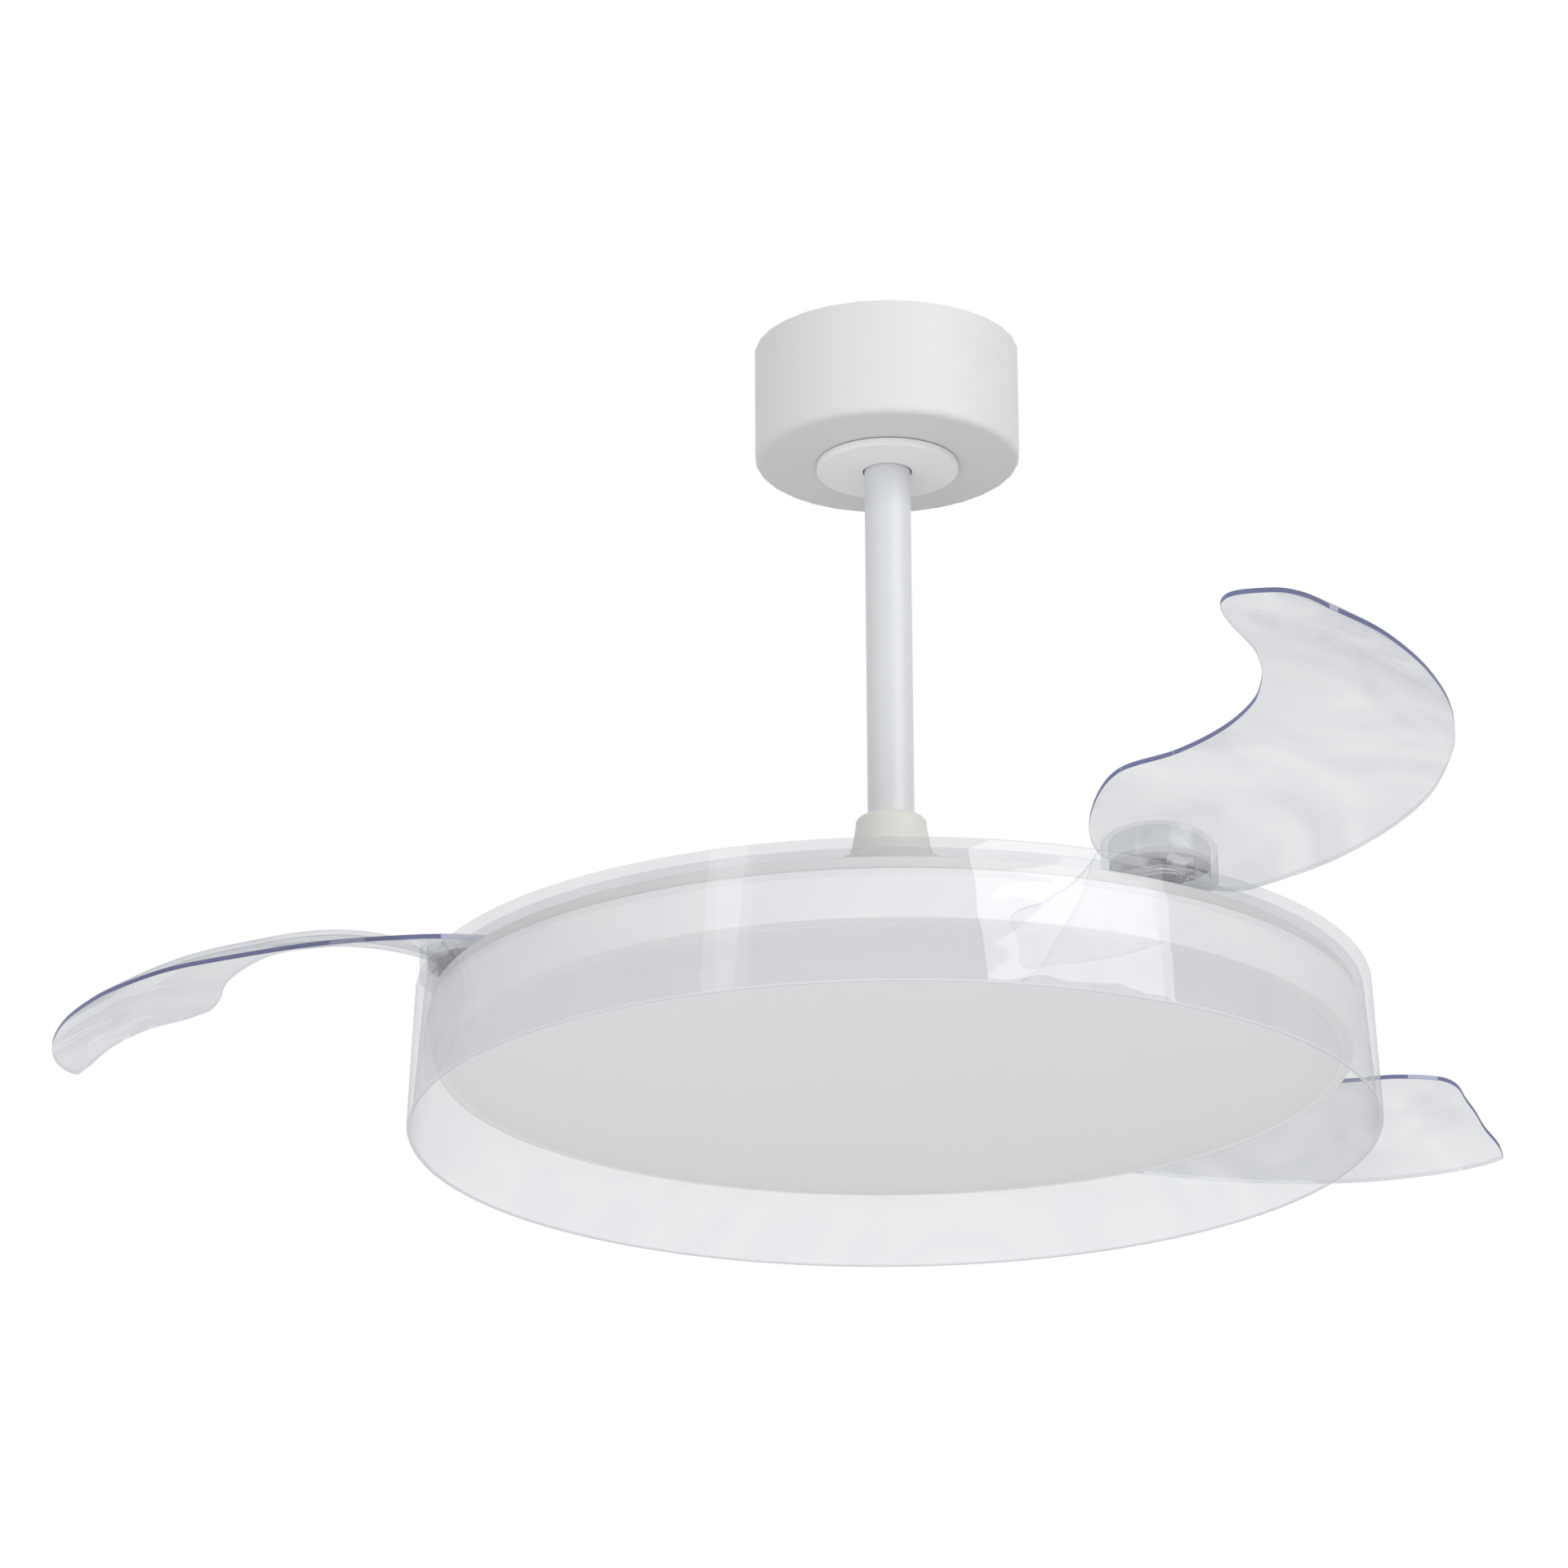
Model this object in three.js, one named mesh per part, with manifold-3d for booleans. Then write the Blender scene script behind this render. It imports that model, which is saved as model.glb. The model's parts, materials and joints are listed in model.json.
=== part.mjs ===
// Ceiling fan with three retractable clear blades and a round lamp, hanging on a short rod.
// Millimetres, +Z up. The origin is the centre of the ceiling bracket's top face, on the ceiling
// plane, and the fan hangs below it in -Z.
import * as THREE from 'three';
import { mergeVertices } from 'three/addons/utils/BufferGeometryUtils.js';
import Module from 'manifold-3d';

const wasm = await Module();
wasm.setup();

// ---------------------------------------------------------------- driving dimensions
const SEAT = 0.3; // gap left between two pieces that bear on each other
const DEG = Math.PI / 180;

// ceiling end
const CANOPY_RADIUS = 77.5;
const CANOPY_HEIGHT = 70;
const CANOPY_WALL = 1.5;
const CANOPY_FILLET = 4.5;
const CANOPY_HOLE_RADIUS = 24;
const BRACKET_LENGTH = 104;
const BRACKET_WIDTH = 40;
const BRACKET_THICKNESS = 2.5;
const BRACKET_SLOT_SPACING = 76;
const BRACKET_SLOT_LENGTH = 14;
const BRACKET_SLOT_WIDTH = 5.5;
const BALL_RADIUS = 21;
const BALL_SEAT_RADIUS = 16.5;
const BALL_TOP = 11; // the ball's flat top and bottom, from its centre
const BALL_BOTTOM = 15;
const BALL_PIN_RADIUS = 3;
const BALL_PIN_HEIGHT = 3;
const DISC_RADIUS = 41.6;
const DISC_THICKNESS = 4.6;
const DISC_SHADOW_GAP = 0.7;
const DISC_BORE_CLEARANCE = 1;
const CANOPY_SCREW_RADIUS = 2;
const CANOPY_SCREW_SPREAD = 66;
const CANOPY_SCREW_LENGTH = 12;
const RECEIVER = [80, 34, 20];
const TERMINAL_BLOCK = [11, 26, 13];
const TERMINAL_DROP = 26; // top of the terminal block, below the ceiling

// rod and coupling
const ROD_RADIUS = 13.5;
const ROD_WALL = 2;
const ROD_ABOVE_BALL_CENTRE = 14;
const ROD_LENGTH = 290;
const SHAFT_RADIUS = 10;
const SHAFT_BORE_RADIUS = 6;
const SHAFT_IN_ROD = 24;
const COUPLER_WALL = 4.2;
const COUPLER_FLOOR = 8;
const COUPLER_COLLAR = 17;
const COUPLER_FLANGE = 4;
const COUPLER_PIN_RADIUS = 3;
const COUPLER_PIN_LENGTH = 40;
const COUPLER_PIN_HEIGHT = 10; // above the rod's lower end
const SET_SCREW_RADIUS = 2.5;
const SET_SCREW_LENGTH = 8;
const COVER_WALL = 2;
const COVER_TOP = 38.4; // top of the coupling cover above the rod's lower end
const COVER_SKIRT_RADIUS = 38.5;
const COVER_FLARE = 0.36; // how fast the skirt widens downwards

// motor
const MOTOR_RADIUS = 92;
const MOTOR_HEIGHT = 45.8;
const MOTOR_WALL = 2.5;
const MOTOR_GAP = 13.7; // coupler to motor
const MOTOR_SPLIT = 21; // height of the joint between the two motor shells
const BEARING_RADIUS = 13.8;
const BEARING_WIDTH = 7;
const MAGNET_THICKNESS = 4;
const MAGNET_HEIGHT = 22;
const AIR_GAP = 1;
const STATOR_HEIGHT = 18;
const STATOR_HUB_RADIUS = 30;
const STATOR_TEETH = 12;
const TOOTH_WIDTH = 13;
const TOOTH_TIP = 30; // width of a tooth's head along the air gap
const WINDING_HEIGHT = 6;

// clear pan
const PAN_RIM_RADIUS = 275;
const PAN_DRAFT = 4; // how much narrower the pan is at its top
const PAN_HEIGHT = 82;
const PAN_WALL = 3;
const PAN_BEVEL = 1;
const PAN_BORE_RADIUS = 60;
const PAN_SCREWS = 4;
const PAN_SCREW_CIRCLE = 72;
const PAN_SCREW_RADIUS = 2;
const PAN_SCREW_LENGTH = 8;

// blades
const BLADES = 3;
const PIVOT_INSET = 37.6; // the blades' pivots, inside the pan's rim
const PIVOT_AZIMUTH = -52.4; // first pivot, degrees from +X
const FOLD_TRAVEL = 112; // degrees from fully open to folded over the pan
const SHORT_OF_OPEN = [0, 8.5, 25]; // how far each blade hangs back from its open stop
const BLADE_THICKNESS = 2.8;
const CUP_RADIUS = 31.6;
const CUP_WALL = 4;
const CUP_LIFT = 0.4; // running gap between cup and pan
const HUB_PLATE = 3;
const HUB_HEIGHT = 12; // top of the hub plate above the pan
const HUB_BOSS_RADIUS = 7;
const PIVOT_PIN_RADIUS = 4;
const PIVOT_HEAD_RADIUS = 7;
const PIVOT_HEAD_HEIGHT = 2.6;
const PIVOT_NUT_RADIUS = 6.5;
const PIVOT_NUT_HEIGHT = 3;
const STOP_CIRCLE = 20; // stop posts and finger, about the pivot
const STOP_POST_RADIUS = 2.5;
const STOP_POST_HEIGHT = 7;
const STOP_FINGER = [5, 5, 6]; // radial, tangential, height
const STOP_FINGER_ANGLE = 90; // finger's direction from the pivot with the blade fully open
const SPRING_RADIUS = 11.5;
const SPRING_WIRE = 1.6;
const SPRING_TURNS = 3;
const SPRING_PITCH = 2.1;
const SPRING_LEG = 6;

// Outline of an open blade as two edges from root to tip: x and y from the pivot, height above the pan.
// The convex edge leads when the fan turns, and the surface rises from it to the concave edge.
const CONVEX_EDGE = [
  [4, 39, 15], [45, 36, 10.5], [56, 28, 10.5], [92, -10, 11], [123, -64, 12], [139, -108.5, 14],
  [145.5, -165, 16], [144.5, -193, 16.5], [139.5, -226.5, 17.5], [130.5, -257.5, 18.5], [118, -286.5, 20],
  [98, -318, 22.5], [81, -335, 24.5], [71.7, -341.5, 26.3],
];
const CONCAVE_EDGE = [
  [-4, 38, 17], [-33, 8, 24], [-37, -45, 30], [-24, -76, 39], [6.5, -78, 48.5], [32, -112.5, 50],
  [45, -143, 52.5], [47.5, -164, 53.5], [47, -187.5, 53.5], [42, -214, 54], [35, -231, 55], [28.5, -245, 56],
  [22, -269.5, 56], [23.5, -280, 56], [28.5, -290, 54.5], [41.5, -302, 51], [51, -313, 46.5], [60, -323.5, 40],
  [66.5, -336.5, 31.5], [71.7, -341.5, 26.3],
];
const CAMBER = 0.92; // how much of the rise is gained near the convex edge; it fades out at the tip

// lamp
const TRAY_GAP = 5; // running gap between pan and lamp tray
const TRAY_STEP = 1.2; // the tray's edge stands in from the trim ring's top
const TRAY_HEIGHT = 11.2;
const TRAY_WALL = 1.5;
const TRAY_BEAD = [0.7, 3.6]; // white bead round the tray's lower edge: how far it stands out, height
const TRIM_LIP = 3.6;
const LAMP_CLEARANCE = 3.3; // running gap between the trim ring's top and the pan's wall
const TRIM_TAPER = 3.7;
const TRIM_HEIGHT = 23.3;
const TRIM_WALL = 2;
const TRIM_LIP_WIDTH = 8;
const DIFFUSER_WALL = 2;
const DIFFUSER_CROWN = 3;
const DIFFUSER_FLANGE = 4.8;
const SPACER_WALL = 2.2;
const LAMP_NUT_RADIUS = 17;
const LAMP_NUT_HEIGHT = 6;
const SHAFT_BELOW_NUT = 4;
const LED_BOARD_MARGIN = 16.7; // inside the diffuser's edge
const LED_BOARD_BORE = 86;
const LED_BOARD_THICKNESS = 1.6;
const LED_DRIVER = [50, 80, 20];
const LED_DRIVER_OFFSET = 46;

// how finely round shapes are cut
const PAN_FACETS = 72;
const FINE = 54;
const MEDIUM = 30;
const INNER = 24;
const COARSE = 16;
const BLADE_SPAN_STEPS = 30;
const BLADE_CHORD_STEPS = 4;

// ---------------------------------------------------------------- radii that follow from others
const panTopRadius = PAN_RIM_RADIUS - PAN_DRAFT;
const panInnerTop = panTopRadius - PAN_WALL - 1;
const trimTopRadius = panInnerTop - LAMP_CLEARANCE;
const trimFootRadius = trimTopRadius - TRIM_TAPER;
const trayRadius = trimTopRadius - TRAY_STEP;
const diffuserRadius = trimFootRadius - TRIM_LIP_WIDTH - SEAT;
const ledBoardRadius = diffuserRadius - LED_BOARD_MARGIN;
const pivotCircle = PAN_RIM_RADIUS - PIVOT_INSET;

// ---------------------------------------------------------------- heights, from the ceiling down
const bracketFoot = -(CANOPY_HEIGHT - CANOPY_WALL - SEAT);
const ballCentre = bracketFoot + BRACKET_THICKNESS
  + Math.sqrt((BALL_RADIUS + SEAT) ** 2 - BALL_SEAT_RADIUS ** 2) - BRACKET_THICKNESS / 2;
const discTop = -CANOPY_HEIGHT - DISC_SHADOW_GAP;
const rodTop = ballCentre + ROD_ABOVE_BALL_CENTRE;
const rodFoot = rodTop - ROD_LENGTH;
const couplerFoot = rodFoot - SEAT - COUPLER_FLOOR;
const motorTop = couplerFoot - MOTOR_GAP;
const motorFoot = motorTop - MOTOR_HEIGHT;
const motorJoint = motorFoot + MOTOR_SPLIT;
const panTop = motorFoot - SEAT;
const panUnderside = panTop - PAN_WALL;
const rimHeight = panTop - PAN_HEIGHT;
const trayTop = panUnderside - TRAY_GAP;
const trayUnderside = trayTop - TRAY_WALL;
const trimTop = trayTop - TRAY_HEIGHT - SEAT;
const trimFoot = trimTop - TRIM_HEIGHT;
const nutTop = trayUnderside - SEAT;
const shaftFoot = nutTop - LAMP_NUT_HEIGHT - SHAFT_BELOW_NUT;
const hubTop = panTop + HUB_HEIGHT;
const hubPlateUnderside = hubTop - HUB_PLATE;

// ---------------------------------------------------------------- solids from three.js geometry
function solid(geometry) {
  const bare = geometry.clone();
  for (const name of Object.keys(bare.attributes)) {
    if (name !== 'position') bare.deleteAttribute(name);
  }
  const merged = mergeVertices(bare, 1e-4);
  const corners = merged.attributes.position.array;
  const indices = [];
  for (let i = 0; i < merged.index.count; i += 3) {
    const [a, b, c] = [0, 1, 2].map((k) => merged.index.getX(i + k));
    if (a !== b && b !== c && c !== a) indices.push(a, b, c);
  }
  let volume = 0;
  const p = [new THREE.Vector3(), new THREE.Vector3(), new THREE.Vector3()];
  for (let i = 0; i < indices.length; i += 3) {
    p.forEach((v, k) => v.fromArray(corners, 3 * indices[i + k]));
    volume += p[0].dot(p[1].clone().cross(p[2]));
  }
  if (volume < 0) indices.reverse();
  return new wasm.Manifold(new wasm.Mesh({
    numProp: 3,
    vertProperties: new Float32Array(corners),
    triVerts: new Uint32Array(indices),
  }));
}

function geometryOf(body) {
  const { vertProperties, triVerts, numProp } = body.getMesh();
  const positions = new Float32Array((vertProperties.length / numProp) * 3);
  for (let i = 0; i < positions.length / 3; i += 1) {
    for (let k = 0; k < 3; k += 1) positions[3 * i + k] = vertProperties[numProp * i + k];
  }
  const geometry = new THREE.BufferGeometry();
  geometry.setAttribute('position', new THREE.BufferAttribute(positions, 3));
  geometry.setIndex(new THREE.BufferAttribute(new Uint32Array(triVerts), 1));
  geometry.computeVertexNormals();
  return geometry;
}

// A closed profile of [radius, height] points, turned about Z.
function turned(profile, segments) {
  const points = [...profile, profile[0]].map(([r, z]) => new THREE.Vector2(r, z));
  return solid(new THREE.LatheGeometry(points, segments).rotateX(Math.PI / 2));
}

function tube(outer, inner, low, high, segments = COARSE) {
  return turned([[inner, low], [outer, low], [outer, high], [inner, high]], segments);
}

function rod(radius, low, high, segments = COARSE) {
  return solid(new THREE.CylinderGeometry(radius, radius, high - low, segments)
    .rotateX(Math.PI / 2).translate(0, 0, (low + high) / 2));
}

// A bar along X, centred on x = 0.
function crossBar(radius, length, height, segments = COARSE) {
  return solid(new THREE.CylinderGeometry(radius, radius, length, segments)
    .rotateZ(Math.PI / 2).translate(0, 0, height));
}

function hexNut(acrossCorners, bore, low, high) {
  return rod(acrossCorners / 2, low, high, 6).subtract(rod(bore, low - 1, high + 1, COARSE));
}

function block([x, y, z], [cx, cy, cz]) {
  return solid(new THREE.BoxGeometry(x, y, z).translate(cx, cy, cz));
}

function moved(body, x, y, z = 0) {
  return body.translate([x, y, z]);
}

// A quarter-round corner of a profile: points on an arc, angles in degrees.
function arc(cx, cz, radius, from, to, steps = 4) {
  return Array.from({ length: steps + 1 }, (_, i) => {
    const a = (from + (to - from) * (i / steps)) * DEG;
    return [cx + radius * Math.cos(a), cz + radius * Math.sin(a)];
  });
}

// ---------------------------------------------------------------- materials
function finish(color, roughness, metalness = 0, opacity = 1) {
  return new THREE.MeshStandardMaterial({ color, roughness, metalness, opacity, transparent: opacity < 1 });
}
const white = finish(0xf2f2f1, 0.55);
const whitePaint = finish(0xf4f5f6, 0.45);
const ivory = finish(0xe6e5dc, 0.5);
const opal = finish(0xeef0f2, 0.35);
const clear = finish(0xe9edf3, 0.06, 0, 0.3);
const steel = finish(0xb5b8bc, 0.35, 1);
const zinc = finish(0xc9ccd0, 0.45, 1);
const aluminium = finish(0xd0d3d6, 0.4, 1);
const copper = finish(0xb4683a, 0.4, 1);
const magnet = finish(0x3a3c40, 0.6, 0.6);
const blackPlastic = finish(0x2a2b2d, 0.6);

const fan = new THREE.Group();
function add(name, body, material, parent = fan) {
  const mesh = new THREE.Mesh(geometryOf(body), material);
  mesh.name = name;
  parent.add(mesh);
  return mesh;
}

// ---------------------------------------------------------------- ceiling end
function ceilingBracket() {
  const t = BRACKET_THICKNESS;
  let body = block([BRACKET_LENGTH, BRACKET_WIDTH, -bracketFoot], [0, 0, bracketFoot / 2])
    .subtract(block([BRACKET_LENGTH - 2 * t, BRACKET_WIDTH + 2, -bracketFoot - 2 * t], [0, 0, bracketFoot / 2]));
  // the ball's seat, with an open side that lets the rod in
  const ball = solid(new THREE.SphereGeometry(BALL_RADIUS + SEAT, 20, 10).translate(0, 0, ballCentre));
  const throat = ROD_RADIUS + DISC_BORE_CLEARANCE;
  body = body.subtract(rod(BALL_SEAT_RADIUS, bracketFoot - 1, ballCentre)).subtract(ball)
    .subtract(block([2 * throat, BRACKET_WIDTH, 2 * BRACKET_THICKNESS + 2],
      [0, BRACKET_WIDTH / 2, bracketFoot + BRACKET_THICKNESS / 2]));
  for (const side of [-1, 1]) {
    const x = side * BRACKET_SLOT_SPACING / 2;
    const run = (BRACKET_SLOT_LENGTH - BRACKET_SLOT_WIDTH) / 2;
    const ends = [-run, run].map((d) => moved(rod(BRACKET_SLOT_WIDTH / 2, -BRACKET_THICKNESS - 1, 1, 12), x + d, 0));
    const slot = ends[0].add(ends[1])
      .add(block([2 * run, BRACKET_SLOT_WIDTH, BRACKET_THICKNESS + 2], [x, 0, -BRACKET_THICKNESS / 2]));
    const screwHole = moved(rod(CANOPY_SCREW_RADIUS + SEAT, bracketFoot - 1, bracketFoot + 2 * BRACKET_THICKNESS, 12),
      side * CANOPY_SCREW_SPREAD / 2, 0);
    body = body.subtract(slot).subtract(screwHole);
  }
  return body;
}

function hangerBall() {
  const sphere = solid(new THREE.SphereGeometry(BALL_RADIUS, 20, 10).translate(0, 0, ballCentre));
  const slab = block([4 * BALL_RADIUS, 4 * BALL_RADIUS, BALL_TOP + BALL_BOTTOM],
    [0, 0, ballCentre + (BALL_TOP - BALL_BOTTOM) / 2]);
  return sphere.intersect(slab)
    .subtract(rod(ROD_RADIUS + SEAT, ballCentre - 2 * BALL_RADIUS, ballCentre + 2 * BALL_RADIUS, INNER))
    .subtract(crossBar(BALL_PIN_RADIUS + SEAT, 3 * BALL_RADIUS, ballCentre + BALL_PIN_HEIGHT, 12));
}

function canopy() {
  const foot = -CANOPY_HEIGHT;
  const r = CANOPY_RADIUS;
  const f = CANOPY_FILLET;
  const w = CANOPY_WALL;
  let body = turned([
    [r, 0], ...arc(r - f, foot + f, f, 0, -90),
    [CANOPY_HOLE_RADIUS, foot], [CANOPY_HOLE_RADIUS, foot + w],
    ...arc(r - f, foot + f, f - w, -90, 0), [r - w, 0],
  ], MEDIUM);
  for (const side of [-1, 1]) {
    body = body.subtract(moved(rod(CANOPY_SCREW_RADIUS + SEAT, foot - 1, foot + 2 * w, 12),
      side * CANOPY_SCREW_SPREAD / 2, 0));
  }
  return body;
}

// A pan-head screw pointing up, head below; z is the height of the head's seat.
function screw(radius, length, z, headRadius = 2 * radius, headHeight = radius * 0.9) {
  return turned([[0, z - headHeight], [headRadius * 0.8, z - headHeight], [headRadius, z - headHeight / 2],
    [headRadius, z], [radius, z], [radius, z + length], [0, z + length]], 10);
}

function coverDisc() {
  const bore = ROD_RADIUS + DISC_BORE_CLEARANCE;
  const foot = discTop - DISC_THICKNESS;
  const spigot = CANOPY_HOLE_RADIUS - SEAT;
  const spigotTop = bracketFoot - SEAT;
  let body = turned([
    [bore, foot], ...arc(DISC_RADIUS - 1.2, foot + 1.2, 1.2, -90, 0, 3),
    ...arc(DISC_RADIUS - 0.6, discTop - 0.6, 0.6, 0, 90, 2),
    [spigot, discTop], [spigot, spigotTop], [bore, spigotTop],
  ], MEDIUM);
  for (const side of [-1, 1]) {
    body = body.subtract(moved(rod(2 * CANOPY_SCREW_RADIUS + 1, discTop - DISC_THICKNESS / 2, discTop + 2, 12),
      side * CANOPY_SCREW_SPREAD / 2, 0));
  }
  return body;
}

add('ceiling_bracket', ceilingBracket(), zinc);
add('hanger_ball', hangerBall(), blackPlastic);
add('ball_pin', crossBar(BALL_PIN_RADIUS, 2 * BALL_RADIUS - 6, ballCentre + BALL_PIN_HEIGHT, 12), steel);
add('canopy', canopy(), white);
for (const [i, side] of [-1, 1].entries()) {
  add(`canopy_screw_${i + 1}`, moved(screw(CANOPY_SCREW_RADIUS, CANOPY_SCREW_LENGTH, -CANOPY_HEIGHT - SEAT),
    side * CANOPY_SCREW_SPREAD / 2, 0), steel);
}
add('cover_disc', coverDisc(), white);
add('receiver_box', block(RECEIVER, [0, 0, -BRACKET_THICKNESS - SEAT - RECEIVER[2] / 2]), white);
add('terminal_block', block(TERMINAL_BLOCK,
  [BRACKET_LENGTH / 2 - BRACKET_THICKNESS - SEAT - TERMINAL_BLOCK[0] / 2, 0, -TERMINAL_DROP - TERMINAL_BLOCK[2] / 2]),
blackPlastic);

// ---------------------------------------------------------------- rod and coupling
const couplerPinHeight = rodFoot + COUPLER_PIN_HEIGHT;

function downrod() {
  return tube(ROD_RADIUS, ROD_RADIUS - ROD_WALL, rodFoot, rodTop, MEDIUM)
    .subtract(crossBar(BALL_PIN_RADIUS + SEAT, 4 * ROD_RADIUS, ballCentre + BALL_PIN_HEIGHT, 12))
    .subtract(crossBar(COUPLER_PIN_RADIUS + SEAT, 4 * ROD_RADIUS, couplerPinHeight, 12));
}

function coupler() {
  const collar = ROD_RADIUS + SEAT + COUPLER_WALL;
  const flange = COVER_SKIRT_RADIUS - COVER_WALL - SEAT;
  const bore = SHAFT_RADIUS + SEAT;
  const setScrewHole = rod(SET_SCREW_RADIUS + SEAT, 0, 3 * collar, 12).rotate([-90, 0, 0]);
  return turned([
    [bore, couplerFoot], [flange, couplerFoot], [flange, couplerFoot + COUPLER_FLANGE],
    [collar, couplerFoot + COUPLER_FLANGE + 1], [collar, rodFoot + COUPLER_COLLAR],
    [ROD_RADIUS + SEAT, rodFoot + COUPLER_COLLAR], [ROD_RADIUS + SEAT, rodFoot - SEAT], [bore, rodFoot - SEAT],
  ], INNER)
    .subtract(crossBar(COUPLER_PIN_RADIUS + SEAT, 4 * ROD_RADIUS, couplerPinHeight, 12))
    .subtract(moved(setScrewHole, 0, ROD_RADIUS - 1, couplerPinHeight));
}

function couplingCover() {
  const w = COVER_WALL;
  const top = rodFoot + COVER_TOP;
  const neck = ROD_RADIUS + SEAT;
  const skirt = COVER_SKIRT_RADIUS;
  const foot = couplerFoot - 4;
  const shoulder = rodFoot + 10; // where the cone meets the wider skirt
  const flare = (depth) => skirt + COVER_FLARE * (depth - 12);
  const outside = [
    [flare(shoulder - foot), foot], [flare(6), shoulder - 6], ...arc(skirt - 6.5, shoulder - 5, 4.5, 0, 90, 3),
    [28, shoulder + 1], [25, shoulder + 3.5], [22.3, top - 16], [20.4, top - 5],
    ...arc(17, top - 3.6, 3.6, 15, 80, 3),
  ];
  const inside = [
    [neck, top], [neck, top - 3], [18, top - 5.5], [22.3 - w, top - 16], [25 - w, shoulder + 2.5],
    [28, shoulder - 1], [skirt - 6.5, shoulder - 2.5], [flare(6) - w, shoulder - 7],
    [flare(shoulder - foot) - w, foot],
  ];
  return turned([...outside, ...inside], MEDIUM);
}

function motorShaft() {
  return tube(SHAFT_RADIUS, SHAFT_BORE_RADIUS, shaftFoot, rodFoot + SHAFT_IN_ROD)
    .subtract(crossBar(COUPLER_PIN_RADIUS + SEAT, 4 * ROD_RADIUS, couplerPinHeight, 12));
}

const setScrew = rod(SET_SCREW_RADIUS, 0, SET_SCREW_LENGTH, 12).rotate([-90, 0, 0]);
add('downrod', downrod(), whitePaint);
add('coupler', coupler(), zinc);
add('coupler_pin', crossBar(COUPLER_PIN_RADIUS, COUPLER_PIN_LENGTH, couplerPinHeight, 12), steel);
add('coupler_set_screw', moved(setScrew, 0, ROD_RADIUS + SEAT, couplerPinHeight), steel);
add('coupling_cover', couplingCover(), ivory);
add('motor_shaft', motorShaft(), steel);

// ---------------------------------------------------------------- motor
const boreClear = SHAFT_RADIUS + SEAT;
const rotorInner = MOTOR_RADIUS - MOTOR_WALL;
const magnetInner = rotorInner - SEAT - MAGNET_THICKNESS;
const statorRadius = magnetInner - AIR_GAP;
const statorFoot = motorFoot + (MOTOR_HEIGHT - STATOR_HEIGHT) / 2 - 2;

function motorShellTop() {
  const seat = BEARING_RADIUS + SEAT;
  return turned([
    [seat, motorTop], [40, motorTop], [MOTOR_RADIUS - 9, motorTop - 5], ...arc(MOTOR_RADIUS - 7, motorTop - 12, 7, 60, 0, 3),
    [MOTOR_RADIUS, motorJoint + SEAT], [rotorInner, motorJoint + SEAT], [rotorInner, motorTop - 14],
    [MOTOR_RADIUS - 11, motorTop - 5 - MOTOR_WALL], [40, motorTop - MOTOR_WALL],
    [seat + 3, motorTop - MOTOR_WALL], [seat + 3, motorTop - BEARING_WIDTH - 1], [seat, motorTop - BEARING_WIDTH - 1],
  ], INNER);
}

function motorShellBottom() {
  const seat = BEARING_RADIUS + SEAT;
  let body = turned([
    [seat, motorFoot], [MOTOR_RADIUS, motorFoot], [MOTOR_RADIUS, motorJoint], [rotorInner, motorJoint],
    [rotorInner, motorFoot + MOTOR_WALL], [seat + 3, motorFoot + MOTOR_WALL],
    [seat + 3, motorFoot + BEARING_WIDTH + 1], [seat, motorFoot + BEARING_WIDTH + 1],
  ], INNER);
  for (const [x, y] of circle(PAN_SCREWS, PAN_SCREW_CIRCLE, 45)) {
    body = body.subtract(moved(rod(PAN_SCREW_RADIUS + SEAT, motorFoot - 1, motorFoot + 2 * MOTOR_WALL, 12), x, y));
  }
  return body;
}

function circle(count, radius, start = 0) {
  return Array.from({ length: count }, (_, i) => {
    const a = (start + (360 * i) / count) * DEG;
    return [radius * Math.cos(a), radius * Math.sin(a)];
  });
}

// The stack of laminations: a hub with one T-shaped tooth for each coil.
function statorCore() {
  const high = statorFoot + STATOR_HEIGHT;
  const middle = (statorFoot + high) / 2;
  const ring = tube(statorRadius, statorRadius - 4, statorFoot, high, INNER);
  let body = tube(STATOR_HUB_RADIUS, boreClear, statorFoot, high);
  for (let i = 0; i < STATOR_TEETH; i += 1) {
    const length = statorRadius - 2 - (STATOR_HUB_RADIUS - 2);
    const stem = block([length, TOOTH_WIDTH, STATOR_HEIGHT], [STATOR_HUB_RADIUS - 2 + length / 2, 0, middle]);
    const head = ring.intersect(block([8, TOOTH_TIP, 2 * STATOR_HEIGHT], [statorRadius - 2, 0, middle]));
    body = body.add(stem.add(head).rotate([0, 0, (360 * i) / STATOR_TEETH]));
  }
  return body;
}

add('motor_shell_top', motorShellTop(), ivory);
add('motor_shell_bottom', motorShellBottom(), ivory);
add('magnet_ring', tube(rotorInner - SEAT, magnetInner, motorFoot + MOTOR_WALL + 3,
  motorFoot + MOTOR_WALL + 3 + MAGNET_HEIGHT, INNER), magnet);
add('bearing_top', tube(BEARING_RADIUS, boreClear, motorTop - BEARING_WIDTH, motorTop), steel);
add('bearing_bottom', tube(BEARING_RADIUS, boreClear, motorFoot + SEAT, motorFoot + SEAT + BEARING_WIDTH), steel);
add('stator_core', statorCore(), zinc);
add('stator_winding', tube(statorRadius - 6, STATOR_HUB_RADIUS + 2, statorFoot + STATOR_HEIGHT + SEAT,
  statorFoot + STATOR_HEIGHT + SEAT + WINDING_HEIGHT, INNER), copper);

// ---------------------------------------------------------------- clear pan
const pivots = circle(BLADES, pivotCircle, PIVOT_AZIMUTH);
// Posts stand this far beyond the finger's centre, so that it meets them at each end of its travel.
const stopAngle = (STOP_POST_RADIUS + STOP_FINGER[1] / 2 + SEAT) / STOP_CIRCLE / DEG;

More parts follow.
